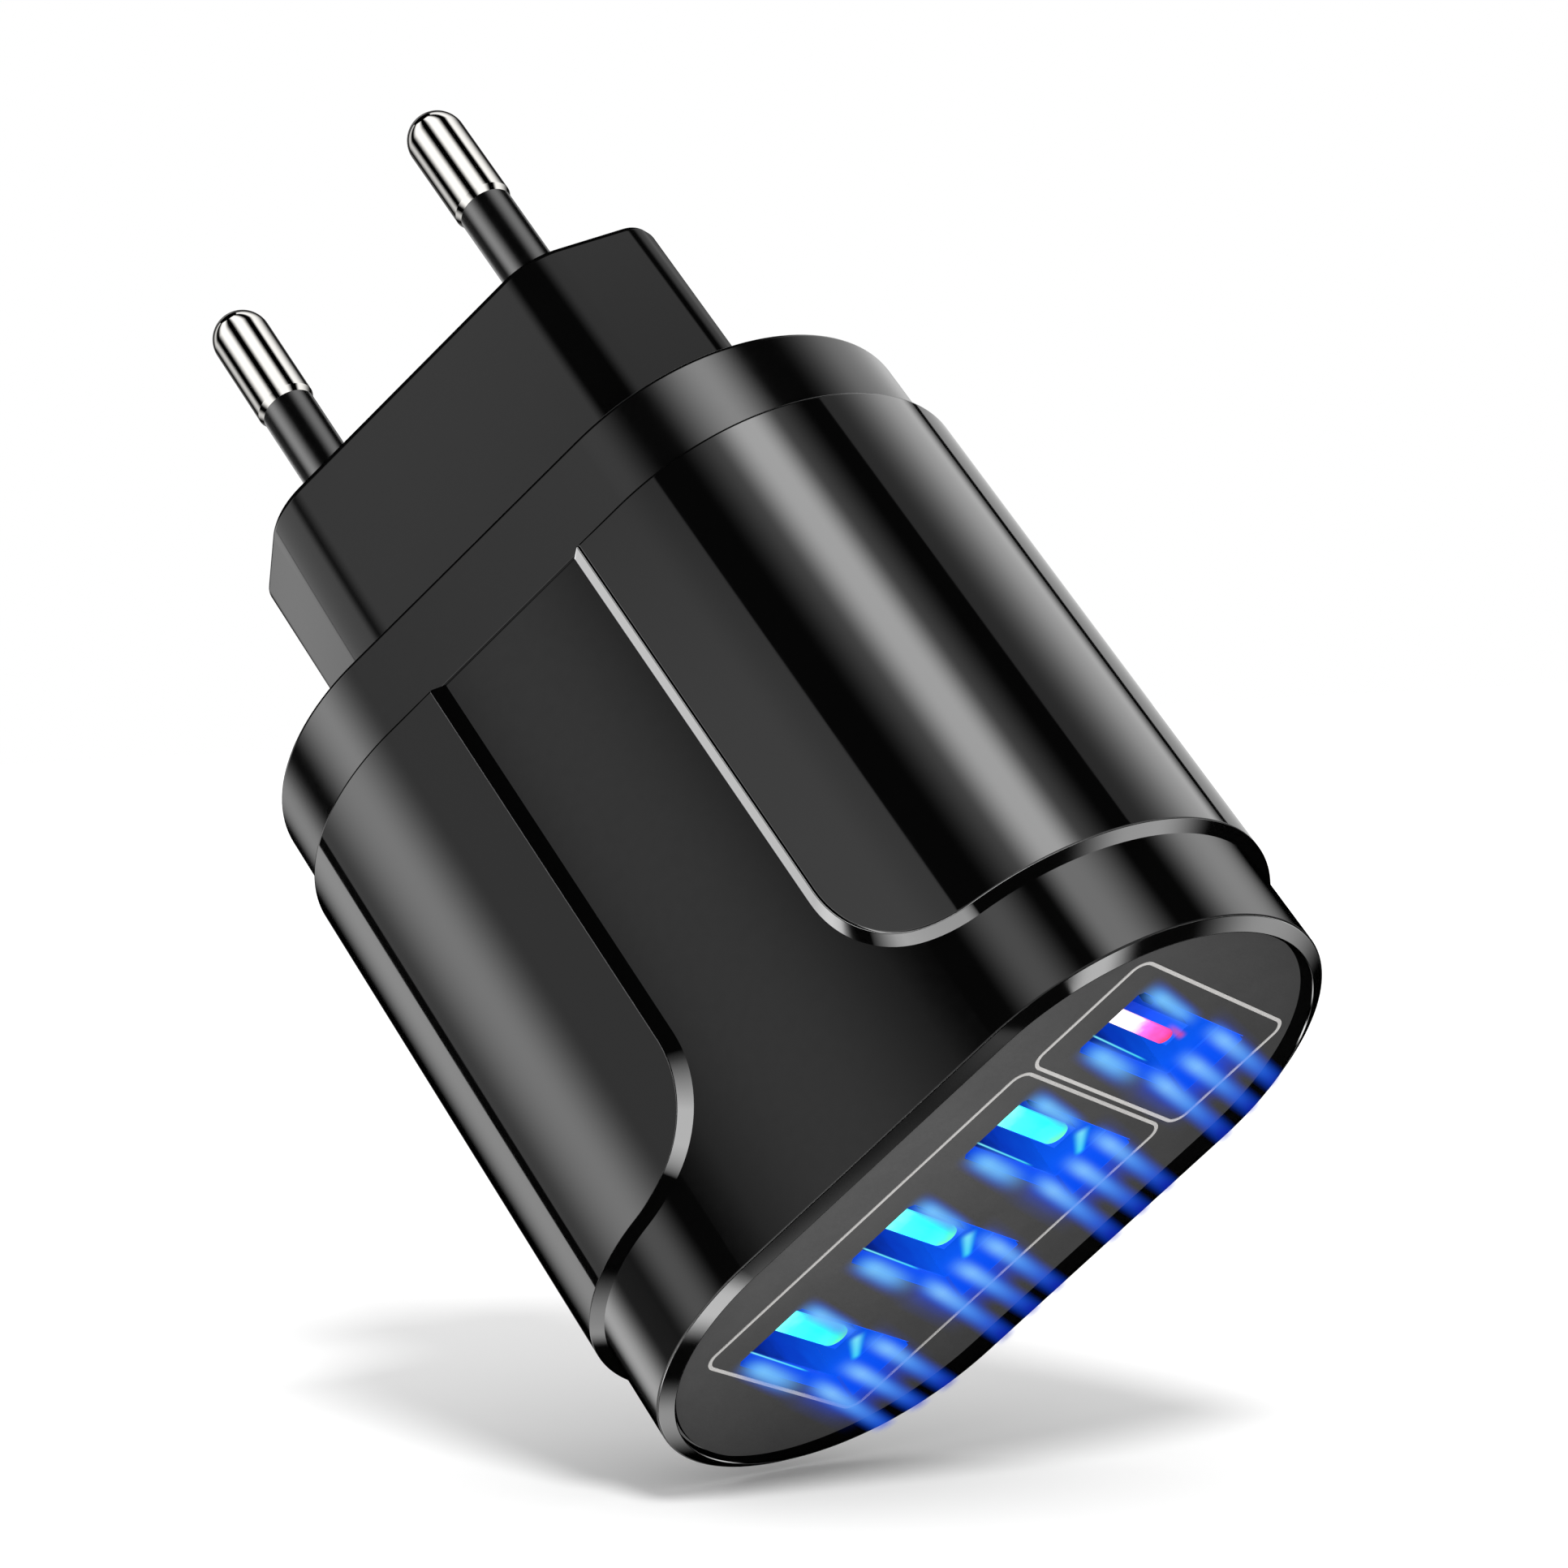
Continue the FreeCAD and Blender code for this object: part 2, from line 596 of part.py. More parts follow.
# Sockets: folded shell, insulator with its tongue, and four contact strips each
TONGUE_TIP = MOUTH + " - sizes.tongue_recess"
TONGUE_ROOT = USB_FRONT + " + sizes.tongue_base"
for port in range(4):
    number = str(port + 1)
    east = port_east(port)
    tall = "sizes.socket_height"
    outside = box("socket_outside_" + number, "sizes.socket_width", "sizes.socket_depth", tall,
                  east, USB_FRONT, "-sizes.socket_height / 2")
    inner_width = "sizes.socket_width - 2 * sizes.socket_sheet"
    inner_height = "sizes.socket_height - 2 * sizes.socket_sheet"
    inside = box("socket_inside_" + number, inner_width, "sizes.socket_depth + 2", inner_height,
                 east, USB_FRONT + " - 1", "-(" + inner_height + ") / 2")
    keep(cut("usb_shell_" + number, outside, inside), "usb_shell_" + number)
    base_width = inner_width + " - 2 * sizes.tongue_gap"
    base_height = inner_height + " - 2 * sizes.tongue_gap"
    base = box("tongue_base_" + number, base_width, "sizes.tongue_base", base_height,
               east, USB_FRONT, "-(" + base_height + ") / 2")
    blade = box("tongue_blade_" + number, "sizes.tongue_thickness",
                "(" + TONGUE_TIP + ") - (" + TONGUE_ROOT + ")", "sizes.tongue_height",
                east + " - sizes.tongue_offset", TONGUE_ROOT, "-sizes.tongue_height / 2")
    keep(fuse("usb_tongue_" + number, [base, blade]), "usb_tongue_" + number)
    strips = []
    for strip, centre in enumerate(("-sizes.contact_outer / 2", "-sizes.contact_inner / 2",
                                    "sizes.contact_inner / 2", "sizes.contact_outer / 2")):
        strips.append(box("contact_" + number + "_" + str(strip), "sizes.contact_thickness",
                          "(" + TONGUE_TIP + ") - (" + TONGUE_ROOT + ") - sizes.contact_setback",
                          "sizes.contact_width",
                          east + " + " + CONTACT_FACE + " + sizes.contact_thickness / 2",
                          TONGUE_ROOT, centre + " - sizes.contact_width / 2"))
    keep(group("usb_contacts_" + number, strips), "usb_contacts_" + number)


# Boards: a socket board across the body and a main board along it
def cornered(sketch, half_across, low, high, cut_off):
    """An upright rectangle with its four corners cut off."""
    points = [("-(" + half_across + ") + " + cut_off, high), (half_across + " - " + cut_off, high),
              (half_across, "(" + high + ") - " + cut_off), (half_across, "(" + low + ") + " + cut_off),
              (half_across + " - " + cut_off, low), ("-(" + half_across + ") + " + cut_off, low),
              ("-(" + half_across + ")", "(" + low + ") + " + cut_off),
              ("-(" + half_across + ")", "(" + high + ") - " + cut_off)]
    return polygon(sketch, points)


usb_board = doc.addObject("PartDesign::Body", "usb_board")
usb_outline = body_sketch(usb_board, "usb_outline", "XZ_Plane", USB_BACK)
cornered(usb_outline, "sizes.usb_board_width / 2", "-sizes.usb_board_height / 2",
         "sizes.usb_board_height / 2", "sizes.board_corner")
usb_pad = usb_board.newObject("PartDesign::Pad", "usb_pad")
usb_pad.Profile = usb_outline
bind(usb_pad, "Length", "sizes.board_thickness")
keep(usb_board, "usb_board")

CAVITY_CHORD = "sqrt(pow(" + CAVITY_RADIUS + "; 2) - pow(" + BOARD_UNDER + "; 2))"
BOARD_HALF = HALF_SPAN + " + " + CAVITY_CHORD + " - sizes.main_board_side_gap"
main_board = doc.addObject("PartDesign::Body", "main_board")
main_outline = body_sketch(main_board, "main_outline", "XY_Plane", BOARD_UNDER)
cornered(main_outline, BOARD_HALF, "-(" + USB_BACK + ")", "-(" + BOARD_START + ")", "sizes.board_corner")
main_pad = main_board.newObject("PartDesign::Pad", "main_pad")
main_pad.Profile = main_outline
bind(main_pad, "Length", "sizes.board_thickness")
keep(main_board, "main_board")

# Blades that carry the mains from the pins' tails down to the main board
BLADE_END = BOARD_START + " + sizes.blade_inset"
for side_name, side_sign in (("left", "-1"), ("right", "1")):
    east = side_sign + " * sizes.pin_spacing / 2"
    run = box("blade_run_" + side_name, "sizes.blade_width", BLADE_END + " - sizes.pin_tail",
              "sizes.blade_thickness", east, "sizes.pin_tail", "-sizes.blade_thickness / 2")
    leg = box("blade_leg_" + side_name, "sizes.blade_width", "sizes.blade_thickness",
              "sizes.main_board_drop + sizes.blade_thickness / 2", east,
              BLADE_END + " - sizes.blade_thickness", BOARD_TOP)
    keep(fuse("contact_blade_" + side_name, [run, leg]), "contact_blade_" + side_name)

# Transformer: bobbin, taped winding and two ferrite E halves with their legs along Y
tube_width = "sizes.core_centre + 2 * sizes.bobbin_gap + 2 * sizes.bobbin_wall"
tube_height = "sizes.core_depth + 2 * sizes.bobbin_gap + 2 * sizes.bobbin_wall"
hole_width = "sizes.core_centre + 2 * sizes.bobbin_gap"
hole_height = "sizes.core_depth + 2 * sizes.bobbin_gap"
flange_width = "sizes.core_width - 2 * sizes.core_leg - 4 * sizes.bobbin_gap"
bobbin_length = CORE_LENGTH + " - 2 * sizes.core_back - 2 * sizes.bobbin_gap"
bobbin_start = CORE_MIDDLE + " - (" + bobbin_length + ") / 2"
bobbin_end = CORE_MIDDLE + " + (" + bobbin_length + ") / 2"
bobbin_tube = box("bobbin_tube", tube_width, bobbin_length, tube_height, "0", bobbin_start,
                  CORE_AXIS + " - (" + tube_height + ") / 2")
bobbin_rear = box("bobbin_rear", flange_width, "sizes.bobbin_flange", "sizes.bobbin_height", "0",
                  bobbin_start, BOARD_TOP)
bobbin_front = box("bobbin_front", flange_width, "sizes.bobbin_flange", "sizes.bobbin_height", "0",
                   bobbin_end + " - sizes.bobbin_flange", BOARD_TOP)
bobbin_solid = fuse("bobbin_solid", [bobbin_tube, bobbin_rear, bobbin_front])
bobbin_hole = box("bobbin_hole", hole_width, bobbin_length + " + 2", hole_height, "0",
                  bobbin_start + " - 1", CORE_AXIS + " - (" + hole_height + ") / 2")
keep(cut("transformer_bobbin", bobbin_solid, bobbin_hole), "transformer_bobbin")

winding_width = flange_width + " - 2 * sizes.winding_margin"
winding_height = "sizes.bobbin_height - 2 * sizes.winding_margin"
winding_length = bobbin_length + " - 2 * sizes.bobbin_flange - 2 * sizes.bobbin_gap"
winding_start = CORE_MIDDLE + " - (" + winding_length + ") / 2"
winding_block = box("winding_block", winding_width, winding_length, winding_height, "0",
                    winding_start, BOARD_TOP + " + sizes.winding_margin")
winding_round = rounded("winding_round", winding_block, runs_along, size("winding_corner"))
winding_hole = box("winding_hole", tube_width + " + 2 * sizes.bobbin_gap", winding_length + " + 2",
                   tube_height + " + 2 * sizes.bobbin_gap", "0", winding_start + " - 1",
                   CORE_AXIS + " - (" + tube_height + ") / 2 - sizes.bobbin_gap")
keep(cut("transformer_winding", winding_round, winding_hole), "transformer_winding")

core_low = CORE_AXIS + " - sizes.core_depth / 2"
for half_name, half_sign in (("rear", "-1"), ("front", "1")):
    half = "sizes.core_width / 2"
    leg = half + " - sizes.core_leg"
    centre = "sizes.core_centre / 2"
    outer = "-(" + CORE_MIDDLE + ") - " + half_sign + " * (" + CORE_LENGTH + ") / 2"
    root = outer + " + " + half_sign + " * sizes.core_back"
    tip = "-(" + CORE_MIDDLE + ")"
    right_side = [(half, outer), (half, tip), (leg, tip), (leg, root), (centre, root), (centre, tip)]
    left_side = [("-(" + across + ")", along) for across, along in reversed(right_side)]
    core_outline = doc.addObject("Sketcher::SketchObject", "core_outline_" + half_name)
    polygon(core_outline, right_side + left_side)
    bind(core_outline, "Placement.Base.z", core_low)
    core = extrude("transformer_core_" + half_name, core_outline, "sizes.core_depth", (0, 0, 1))
    keep(core, "transformer_core_" + half_name)


# Capacitor cans, turned with the crimp that seals their open end
def can(name, diameter, length):
    """One capacitor can, standing along its own Y axis with its crimped end at the origin."""
    radius = "(" + diameter + ") / 2"
    waist = radius + " - sizes.can_crimp_depth"
    crimp = "sizes.can_crimp_place"
    half = "sizes.can_crimp_width / 2"
    points = [("0", "0"), (radius, "0"), (radius, crimp + " - " + half), (waist, crimp),
              (radius, crimp + " + " + half), (radius, length), ("0", length)]
    return turned(name, points)


can_east = "(sizes.core_width + sizes.input_can_diameter) / 2 + sizes.input_can_gap"
can_length = CORE_LENGTH + " - 2 * sizes.input_can_inset"
for side_name, side_sign in (("left", "-1"), ("right", "1")):
    lying = can("input_capacitor_" + side_name, "sizes.input_can_diameter", can_length)
    place(lying, side_sign + " * (" + can_east + ")", CORE_FRONT + " - sizes.input_can_inset",
          BOARD_TOP + " + sizes.input_can_diameter / 2")
    keep(lying, "input_capacitor_" + side_name)

standing = []
for side_name, side_sign in (("left", "-1"), ("right", "1")):
    item = can("output_can_" + side_name, "sizes.output_can_diameter", "sizes.output_can_height")
    item.Placement.Rotation = FreeCAD.Rotation(FreeCAD.Vector(1, 0, 0), 90)
    place(item, side_sign + " * sizes.output_can_spacing / 2", OUTPUT_ROW, BOARD_TOP)
    standing.append(item)
keep(group("output_capacitors", standing), "output_capacitors")

# Other components of the main board
disc = doc.addObject("Part::Cylinder", "safety_disc")
bind(disc, "Radius", "sizes.disc_diameter / 2")
bind(disc, "Height", "sizes.disc_thickness")
disc.Placement.Rotation = FreeCAD.Rotation(FreeCAD.Vector(1, 0, 0), 90)
place(disc, "-sizes.side_spacing / 2", OUTPUT_ROW + " - sizes.disc_thickness / 2",
      BOARD_TOP + " + sizes.disc_diameter / 2")
keep(disc, "safety_capacitor")
keep(box("opto_block", "sizes.opto_width", "sizes.opto_length", "sizes.opto_height",
         "sizes.side_spacing / 2", OUTPUT_ROW + " - sizes.opto_length / 2", BOARD_TOP), "optocoupler")
keep(box("rectifier_block", "sizes.rectifier_width", "sizes.rectifier_length", "sizes.rectifier_height",
         "0", INPUT_ROW + " - sizes.rectifier_length / 2", BOARD_TOP), "bridge_rectifier")
keep(upright("fuse_body", "sizes.fuse_diameter", "sizes.fuse_height", "-sizes.input_spacing / 2",
             INPUT_ROW, BOARD_TOP), "input_fuse")
drum = turned("input_drum", [
    ("0", "0"), ("sizes.inductor_diameter / 2", "0"), ("sizes.inductor_diameter / 2", "sizes.inductor_flange"),
    ("sizes.inductor_waist / 2", "sizes.inductor_flange"),
    ("sizes.inductor_waist / 2", "sizes.inductor_height - sizes.inductor_flange"),
    ("sizes.inductor_diameter / 2", "sizes.inductor_height - sizes.inductor_flange"),
    ("sizes.inductor_diameter / 2", "sizes.inductor_height"), ("0", "sizes.inductor_height")])
drum.Placement.Rotation = FreeCAD.Rotation(FreeCAD.Vector(1, 0, 0), 90)
place(drum, "sizes.input_spacing / 2", INPUT_ROW, BOARD_TOP)
keep(drum, "input_inductor")
keep(box("controller_block", "sizes.controller_width", "sizes.controller_length", "sizes.controller_height",
         "0", BOARD_START + " + sizes.controller_place", BOARD_UNDER + " - sizes.controller_height"),
     "power_controller")
keep(box("switch_block", "sizes.switch_width", "sizes.switch_length", "sizes.switch_height", "0",
         USB_BACK + " - sizes.switch_inset - sizes.switch_length / 2",
         BOARD_UNDER + " - sizes.switch_height"), "output_rectifier")

# Small parts of the socket board, one for each port
chips = []
lights = []
for port in range(4):
    number = str(port + 1)
    east = port_east(port)
    chips.append(box("port_chip_" + number, "sizes.port_chip_width", "sizes.port_chip_thickness",
                     "sizes.port_chip_height", east, USB_BACK + " - sizes.port_chip_thickness",
                     "sizes.port_chip_rise - sizes.port_chip_height / 2"))
    lights.append(box("port_led_" + number, "sizes.led_width", "sizes.led_thickness", "sizes.led_height",
                      east, USB_FRONT, "sizes.led_rise - sizes.led_height / 2"))
keep(group("port_controllers", chips), "port_controllers")
keep(group("port_leds", lights), "port_leds")

doc.recompute()

# Nothing is written unless every object and every piece came out sound
for thing in doc.Objects:
    if "Invalid" in thing.State or "Error" in thing.State:
        raise RuntimeError("failed: " + thing.Name + " " + str(thing.State))
for node in nodes:
    if node.Shape.isNull() or not node.Shape.isValid():
        raise RuntimeError("bad shape: " + node.Label)

os.makedirs("parts", exist_ok=True)
for node in nodes:
    node.Shape.exportStep("parts/" + node.Label + ".step")
    print(node.Label, len(node.Shape.Solids), round(node.Shape.Volume, 2))
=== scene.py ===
"""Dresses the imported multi-port wall charger and sets up its studio.

Every size is in millimetres in the part's own frame: X along the row of ports, Y towards the pins, Z out of the
broad face. Depth is counted from the plug block's end face towards the ports, so depth is minus Y.
"""

import json
import logging
import math
from collections.abc import Callable
from dataclasses import dataclass, field, replace
from enum import Enum

import bmesh
import bpy
import numpy as np
from mathutils import Matrix, Vector


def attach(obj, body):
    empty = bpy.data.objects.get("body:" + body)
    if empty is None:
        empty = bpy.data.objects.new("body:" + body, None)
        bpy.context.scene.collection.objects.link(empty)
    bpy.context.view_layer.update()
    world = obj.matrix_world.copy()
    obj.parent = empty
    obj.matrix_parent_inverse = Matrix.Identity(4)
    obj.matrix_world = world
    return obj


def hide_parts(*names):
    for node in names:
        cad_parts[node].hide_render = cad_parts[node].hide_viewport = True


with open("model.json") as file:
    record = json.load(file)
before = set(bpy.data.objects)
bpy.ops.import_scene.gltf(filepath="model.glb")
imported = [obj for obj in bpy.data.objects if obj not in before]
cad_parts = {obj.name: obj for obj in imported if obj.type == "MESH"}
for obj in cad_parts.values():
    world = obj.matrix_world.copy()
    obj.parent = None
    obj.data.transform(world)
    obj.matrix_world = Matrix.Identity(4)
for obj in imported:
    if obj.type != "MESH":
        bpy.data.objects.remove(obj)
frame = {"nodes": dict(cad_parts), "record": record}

LOG = logging.getLogger("charger")
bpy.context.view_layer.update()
MM = 0.001
WELD = 1e-4
BODY = "root"
FINE_ROUND, SMALL_ROUND = 0.02, 0.05
SHARP_ANGLE = math.radians(40)
WHITE = (1.0, 1.0, 1.0, 1.0)
CLEAR_BOUNCES = 24
TENT_RADIUS, TENT_STEP = 2000.0, 50.0
PORT_CENTRES = (13.905, 4.635, -4.635, -13.905)
FAST_PORT = 1
Array = np.ndarray
Piece = bpy.types.Object
Tree = bpy.types.NodeTree
Socket = bpy.types.NodeSocket
Tones = tuple[tuple[float, str], ...]


def linear(code: str) -> tuple[float, float, float, float]:
    """Turn an sRGB hex colour into linear light.

    Args:
        code: colour as "#rrggbb".

    Returns:
        Red, green, blue and an alpha of one.
    """
    parts = np.array([int(code[place:place + 2], 16) for place in (1, 3, 5)]) / 255.0
    light = np.where(parts <= 0.04045, parts / 12.92, ((parts + 0.055) / 1.055) ** 2.4)
    return (*light.tolist(), 1.0)


def unit(vectors: Array) -> Array:
    """Scale each vector of an array to length one."""
    return vectors / np.linalg.norm(vectors, axis=-1, keepdims=True)


def smooth(share: Array) -> Array:
    """Ease from 0 to 1 with no slope at either end: three t squared less two t cubed."""
    held = np.clip(share, 0.0, 1.0)
    return held * held * (3.0 - 2.0 * held)


def round_corners(corners: Array, radii: list[float] | float, steps: int, closed: bool = True) -> tuple[Array, Array]:
    """Round a flat outline: each corner becomes the arc that touches both its sides.

    The arc's centre lies on the corner's bisector at the radius over the sine of half the inside angle. The arc
    turns evenly from the foot on the side before to the foot on the side after.

    Args:
        corners: outline corners, one row each.
        radii: radius at each corner, or one for all.
        steps: points on each arc.
        closed: False keeps the first and last corner as plain ends.

    Returns:
        The outline's points and, for each, the unit vector from its arc's centre.
    """
    before = unit(np.roll(corners, 1, axis=0) - corners)
    after = unit(np.roll(corners, -1, axis=0) - corners)
    half = np.arccos(np.clip((before * after).sum(axis=1), -1.0, 1.0))[:, None] / 2.0
    radius = np.broadcast_to(np.asarray(radii, float), len(corners))[:, None]
    centre = corners + unit(before + after) * radius / np.sin(half)
    start = unit(corners + before * radius / np.tan(half) - centre)[:, None, :]
    end = unit(corners + after * radius / np.tan(half) - centre)[:, None, :]
    turn = (math.pi - 2.0 * half)[:, None, :]
    share = np.linspace(0.0, 1.0, steps)[None, :, None]
    spokes = (np.sin((1.0 - share) * turn) * start + np.sin(share * turn) * end) / np.sin(turn)
    points = centre[:, None, :] + radius[:, None, :] * spokes
    if closed:
        return points.reshape(-1, 2), spokes.reshape(-1, 2)
    inner, inner_spokes = points[1:-1].reshape(-1, 2), spokes[1:-1].reshape(-1, 2)
    return (np.vstack([corners[:1], inner, corners[-1:]]),
            np.vstack([inner_spokes[:1], inner_spokes, inner_spokes[-1:]]))


def box_outline(east: tuple[float, float], rise: tuple[float, float], corner: float, steps: int) -> tuple[Array, Array]:
    """Outline of a flat box with rounded corners, as its points and spokes."""
    corners = [[east[1], rise[1]], [east[0], rise[1]], [east[0], rise[0]], [east[1], rise[0]]]
    return round_corners(np.array(corners), corner, steps)


def rings(flat: tuple[Array, Array], depth: list[float] | Array, inset: list[float] | Array | float = 0.0,
          shrink: list[float] | Array | float = 1.0, centre: tuple[float, float] = (0.0, 0.0)) -> Array:
    """Carry a rounded outline through a run of depths.

    Each ring is the outline less its spokes times the ring's inset, times the ring's shrink, moved to the centre.

    Args:
        flat: the outline's points and spokes.
        depth: depth of each ring.
        inset: distance of each ring inside the outline.
        shrink: scale of each ring about the outline's middle.
        centre: where that middle lies along X and Z.

    Returns:
        A grid with one row for each outline point.
    """
    depth, inset, shrink = np.broadcast_arrays(np.asarray(depth, float), inset, shrink)
    outline, spokes = (part[:, None, :] for part in flat)
    ring = (outline - spokes * inset[:, None]) * shrink[:, None] + centre
    return np.stack([ring[..., 0], np.broadcast_to(-depth, ring.shape[:2]), ring[..., 1]], axis=-1)


@dataclass(frozen=True)
class Patch:
    """A grid of points in millimetres, which may close on itself along its rows or columns."""

    points: Array
    wrap_rows: bool = False
    wrap_columns: bool = False

    def quads(self, first: int) -> Array:
        """Four-cornered faces between neighbouring grid points.

        Args:
            first: number of the grid's first point in the whole mesh.

        Returns:
            One row of four point numbers for each face.
        """
        rows, columns = self.points.shape[:2]
        index = first + np.arange(rows * columns).reshape(rows, columns)
        if self.wrap_rows:
            index = np.vstack([index, index[:1]])
        if self.wrap_columns:
            index = np.hstack([index, index[:, :1]])
        corners = [index[:-1, :-1], index[1:, :-1], index[1:, 1:], index[:-1, 1:]]
        return np.stack(corners, axis=-1).reshape(-1, 4)


def linked(name: str, data: bpy.types.ID) -> Piece:
    """Put new data into the scene.

    Args:
        name: name of the object.
        data: its mesh, light or camera.

    Returns:
        The object, at the origin.
    """
    made = bpy.data.objects.new(name, data)
    bpy.context.scene.collection.objects.link(made)
    return made


def shade_by_area(mesh: bpy.types.Mesh) -> None:
    """Set each point's normal to the sum of its faces' normals by area, so that flats stay flat beside small rounds.

    Args:
        mesh: the mesh to shade.
    """
    count = len(mesh.polygons)
    facing, area, totals = np.empty(count * 3), np.empty(count), np.empty(count, np.int32)
    corners = np.empty(len(mesh.loops), np.int32)
    for name, values in (("normal", facing), ("area", area), ("loop_total", totals)):
        mesh.polygons.foreach_get(name, values)
    mesh.loops.foreach_get("vertex_index", corners)
    normals = np.zeros((len(mesh.vertices), 3))
    np.add.at(normals, corners, np.repeat(facing.reshape(-1, 3) * area[:, None], totals, axis=0))
    mesh.polygons.foreach_set("use_smooth", np.ones(count, dtype=bool))
    mesh.normals_split_custom_set_from_vertices(unit(normals + 1e-18).tolist())


def mesh_from(name: str, patches: list[Patch], solid: bool = True) -> Piece:
    """Weld patches into one mesh.

    Points that coincide become one and faces that lose a corner become triangles. A closed mesh then has its faces
    turned outwards.

    Args:
        name: name of the piece.
        patches: grids that share their seams.
        solid: False for an open sheet, whose faces stay as they are.

    Returns:
        The new object, at the origin.
    """
    points = np.concatenate([patch.points.reshape(-1, 3) for patch in patches])
    starts = np.cumsum([0] + [patch.points[..., 0].size for patch in patches])
    quads = np.concatenate([patch.quads(start) for patch, start in zip(patches, starts)])
    welded, inverse = np.unique(np.round(points / WELD).astype(np.int64), axis=0, return_inverse=True)
    quads = inverse.reshape(-1)[quads]
    keep = quads != np.roll(quads, -1, axis=1)
    whole = keep.sum(axis=1) >= 3
    quads, keep = quads[whole], keep[whole]
    totals = keep.sum(axis=1)
    mesh = bpy.data.meshes.new(name)
    mesh.vertices.add(len(welded))
    mesh.vertices.foreach_set("co", (welded * WELD * MM).astype(np.float32).ravel())
    mesh.loops.add(int(totals.sum()))
    mesh.loops.foreach_set("vertex_index", quads[keep].astype(np.int32))
    mesh.polygons.add(len(quads))
    mesh.polygons.foreach_set("loop_start", np.concatenate([[0], np.cumsum(totals)[:-1]]).astype(np.int32))
    mesh.update(calc_edges=True)
    if solid:
        work = bmesh.new()
        work.from_mesh(mesh)
        bmesh.ops.recalc_face_normals(work, faces=work.faces[:])
        work.to_mesh(mesh)
        work.free()
    shade_by_area(mesh)
    return linked(name, mesh)


def add_node(tree: Tree, kind: str, inputs: dict | None = None, **settings: object) -> bpy.types.Node:
    """Add a shader node.

    Args:
        tree: node tree that gets the node.
        kind: Blender's name for the kind of shader node, without its prefix.
        inputs: value or linked socket for each input, by the input's name or number.
        **settings: the node's own properties.

    Returns:
        The node.
    """
    node = tree.nodes.new(f"ShaderNode{kind}")
    for key, value in settings.items():
        setattr(node, key, value)
    for key, value in (inputs or {}).items():
        if isinstance(value, Socket):
            tree.links.new(value, node.inputs[key])
        else:
            node.inputs[key].default_value = value
    return node


def node_material(name: str, fill: Callable[[Tree], Socket], sampled: bool = True) -> bpy.types.Material:
    """Fetch a material, or build it when it is new.

    Args:
        name: name of the material.
        fill: puts the nodes into an empty tree and gives the surface's socket.
        sampled: False for a glow that casts no light of its own.

    Returns:
        The material.
    """
    known = bpy.data.materials.get(name)
    if known:
        return known
    made = bpy.data.materials.new(name)
    made.use_nodes = True
    made.node_tree.nodes.clear()
    if not sampled:
        made.cycles.emission_sampling = "NONE"
    add_node(made.node_tree, "OutputMaterial", {"Surface": fill(made.node_tree)})
    return made


def light_only(light: Piece, receivers: list[Piece]) -> None:
    """Keep a light to its receivers.

    Args:
        light: lamp or lit mesh.
        receivers: the only pieces that it lights.
    """
    group = bpy.data.collections.new(f"{light.name}_receivers")
    for receiver in receivers:
        group.objects.link(receiver)
    light.light_linking.receiver_collection = group


@dataclass(frozen=True)
class Finish:
    """A moulded, plated or printed surface: two close tones mixed by its grain, with uneven gloss and a fine bump.

    Between the two given seam depths the sheen grows from nothing, which leaves a painted shade line on the near side.
    """

    name: str
    dark: str
    pale: str
    rough: tuple[float, float]
    grain_mm: float
    bump: float = 0.0
    metallic: float = 0.0
    ior: float = 1.5
    specular: float = 0.5
    glow: str | None = None
    glow_strength: float = 0.0
    dull_mm: tuple[float, float] | None = None
    cloud_grains: float = 12.0
    relief_mm: float = 0.02
    grain_range: tuple[float, float] = (0.3, 0.7)

    def material(self) -> bpy.types.Material:
        """Fetch the finish's material, or build it."""
        return node_material(self.name, self.surface)

    def surface(self, tree: Tree) -> Socket:
        """Build the finish, with its pattern on Object coordinates.

        Args:
            tree: the material's empty node tree.

        Returns:
            The shader's socket.
        """
        place = add_node(tree, "TexCoord").outputs["Object"]
        grain, cloud = (
            add_node(tree, "TexNoise", {"Vector": place, "Scale": 1.0 / (size * MM), "Detail": detail}).outputs["Fac"]
            for size, detail in ((self.grain_mm, 4.0), (self.cloud_grains * self.grain_mm, 2.0)))
        tone = add_node(tree, "Mix", {"Factor": cloud, "A": linear(self.dark), "B": linear(self.pale)},
                        data_type="RGBA")
        gloss = add_node(tree, "MapRange", {
            "Value": grain, "From Min": self.grain_range[0], "From Max": self.grain_range[1],
            "To Min": self.rough[0], "To Max": self.rough[1]})
        relief = add_node(tree, "Bump", {"Height": grain, "Strength": self.bump, "Distance": self.relief_mm * MM})
        shader = add_node(tree, "BsdfPrincipled", {
            "Base Color": tone.outputs["Result"], "Roughness": gloss.outputs["Result"],
            "Normal": relief.outputs["Normal"], "Metallic": self.metallic, "IOR": self.ior,
            "Specular IOR Level": self.specular})
        # Painted shade: with no sheen near the seam the reflections stop there and leave a dark line
        if self.dull_mm:
            split = add_node(tree, "SeparateXYZ", {"Vector": place})
            sheen = add_node(tree, "MapRange", {
                "Value": split.outputs["Y"], "From Min": -self.dull_mm[0] * MM, "From Max": -self.dull_mm[1] * MM,
                "To Min": 0.0, "To Max": self.specular})
            tree.links.new(sheen.outputs["Result"], shader.inputs["Specular IOR Level"])
        if self.glow:
            shader.inputs["Emission Color"].default_value = linear(self.glow)
            shader.inputs["Emission Strength"].default_value = self.glow_strength
        return shader.outputs["BSDF"]


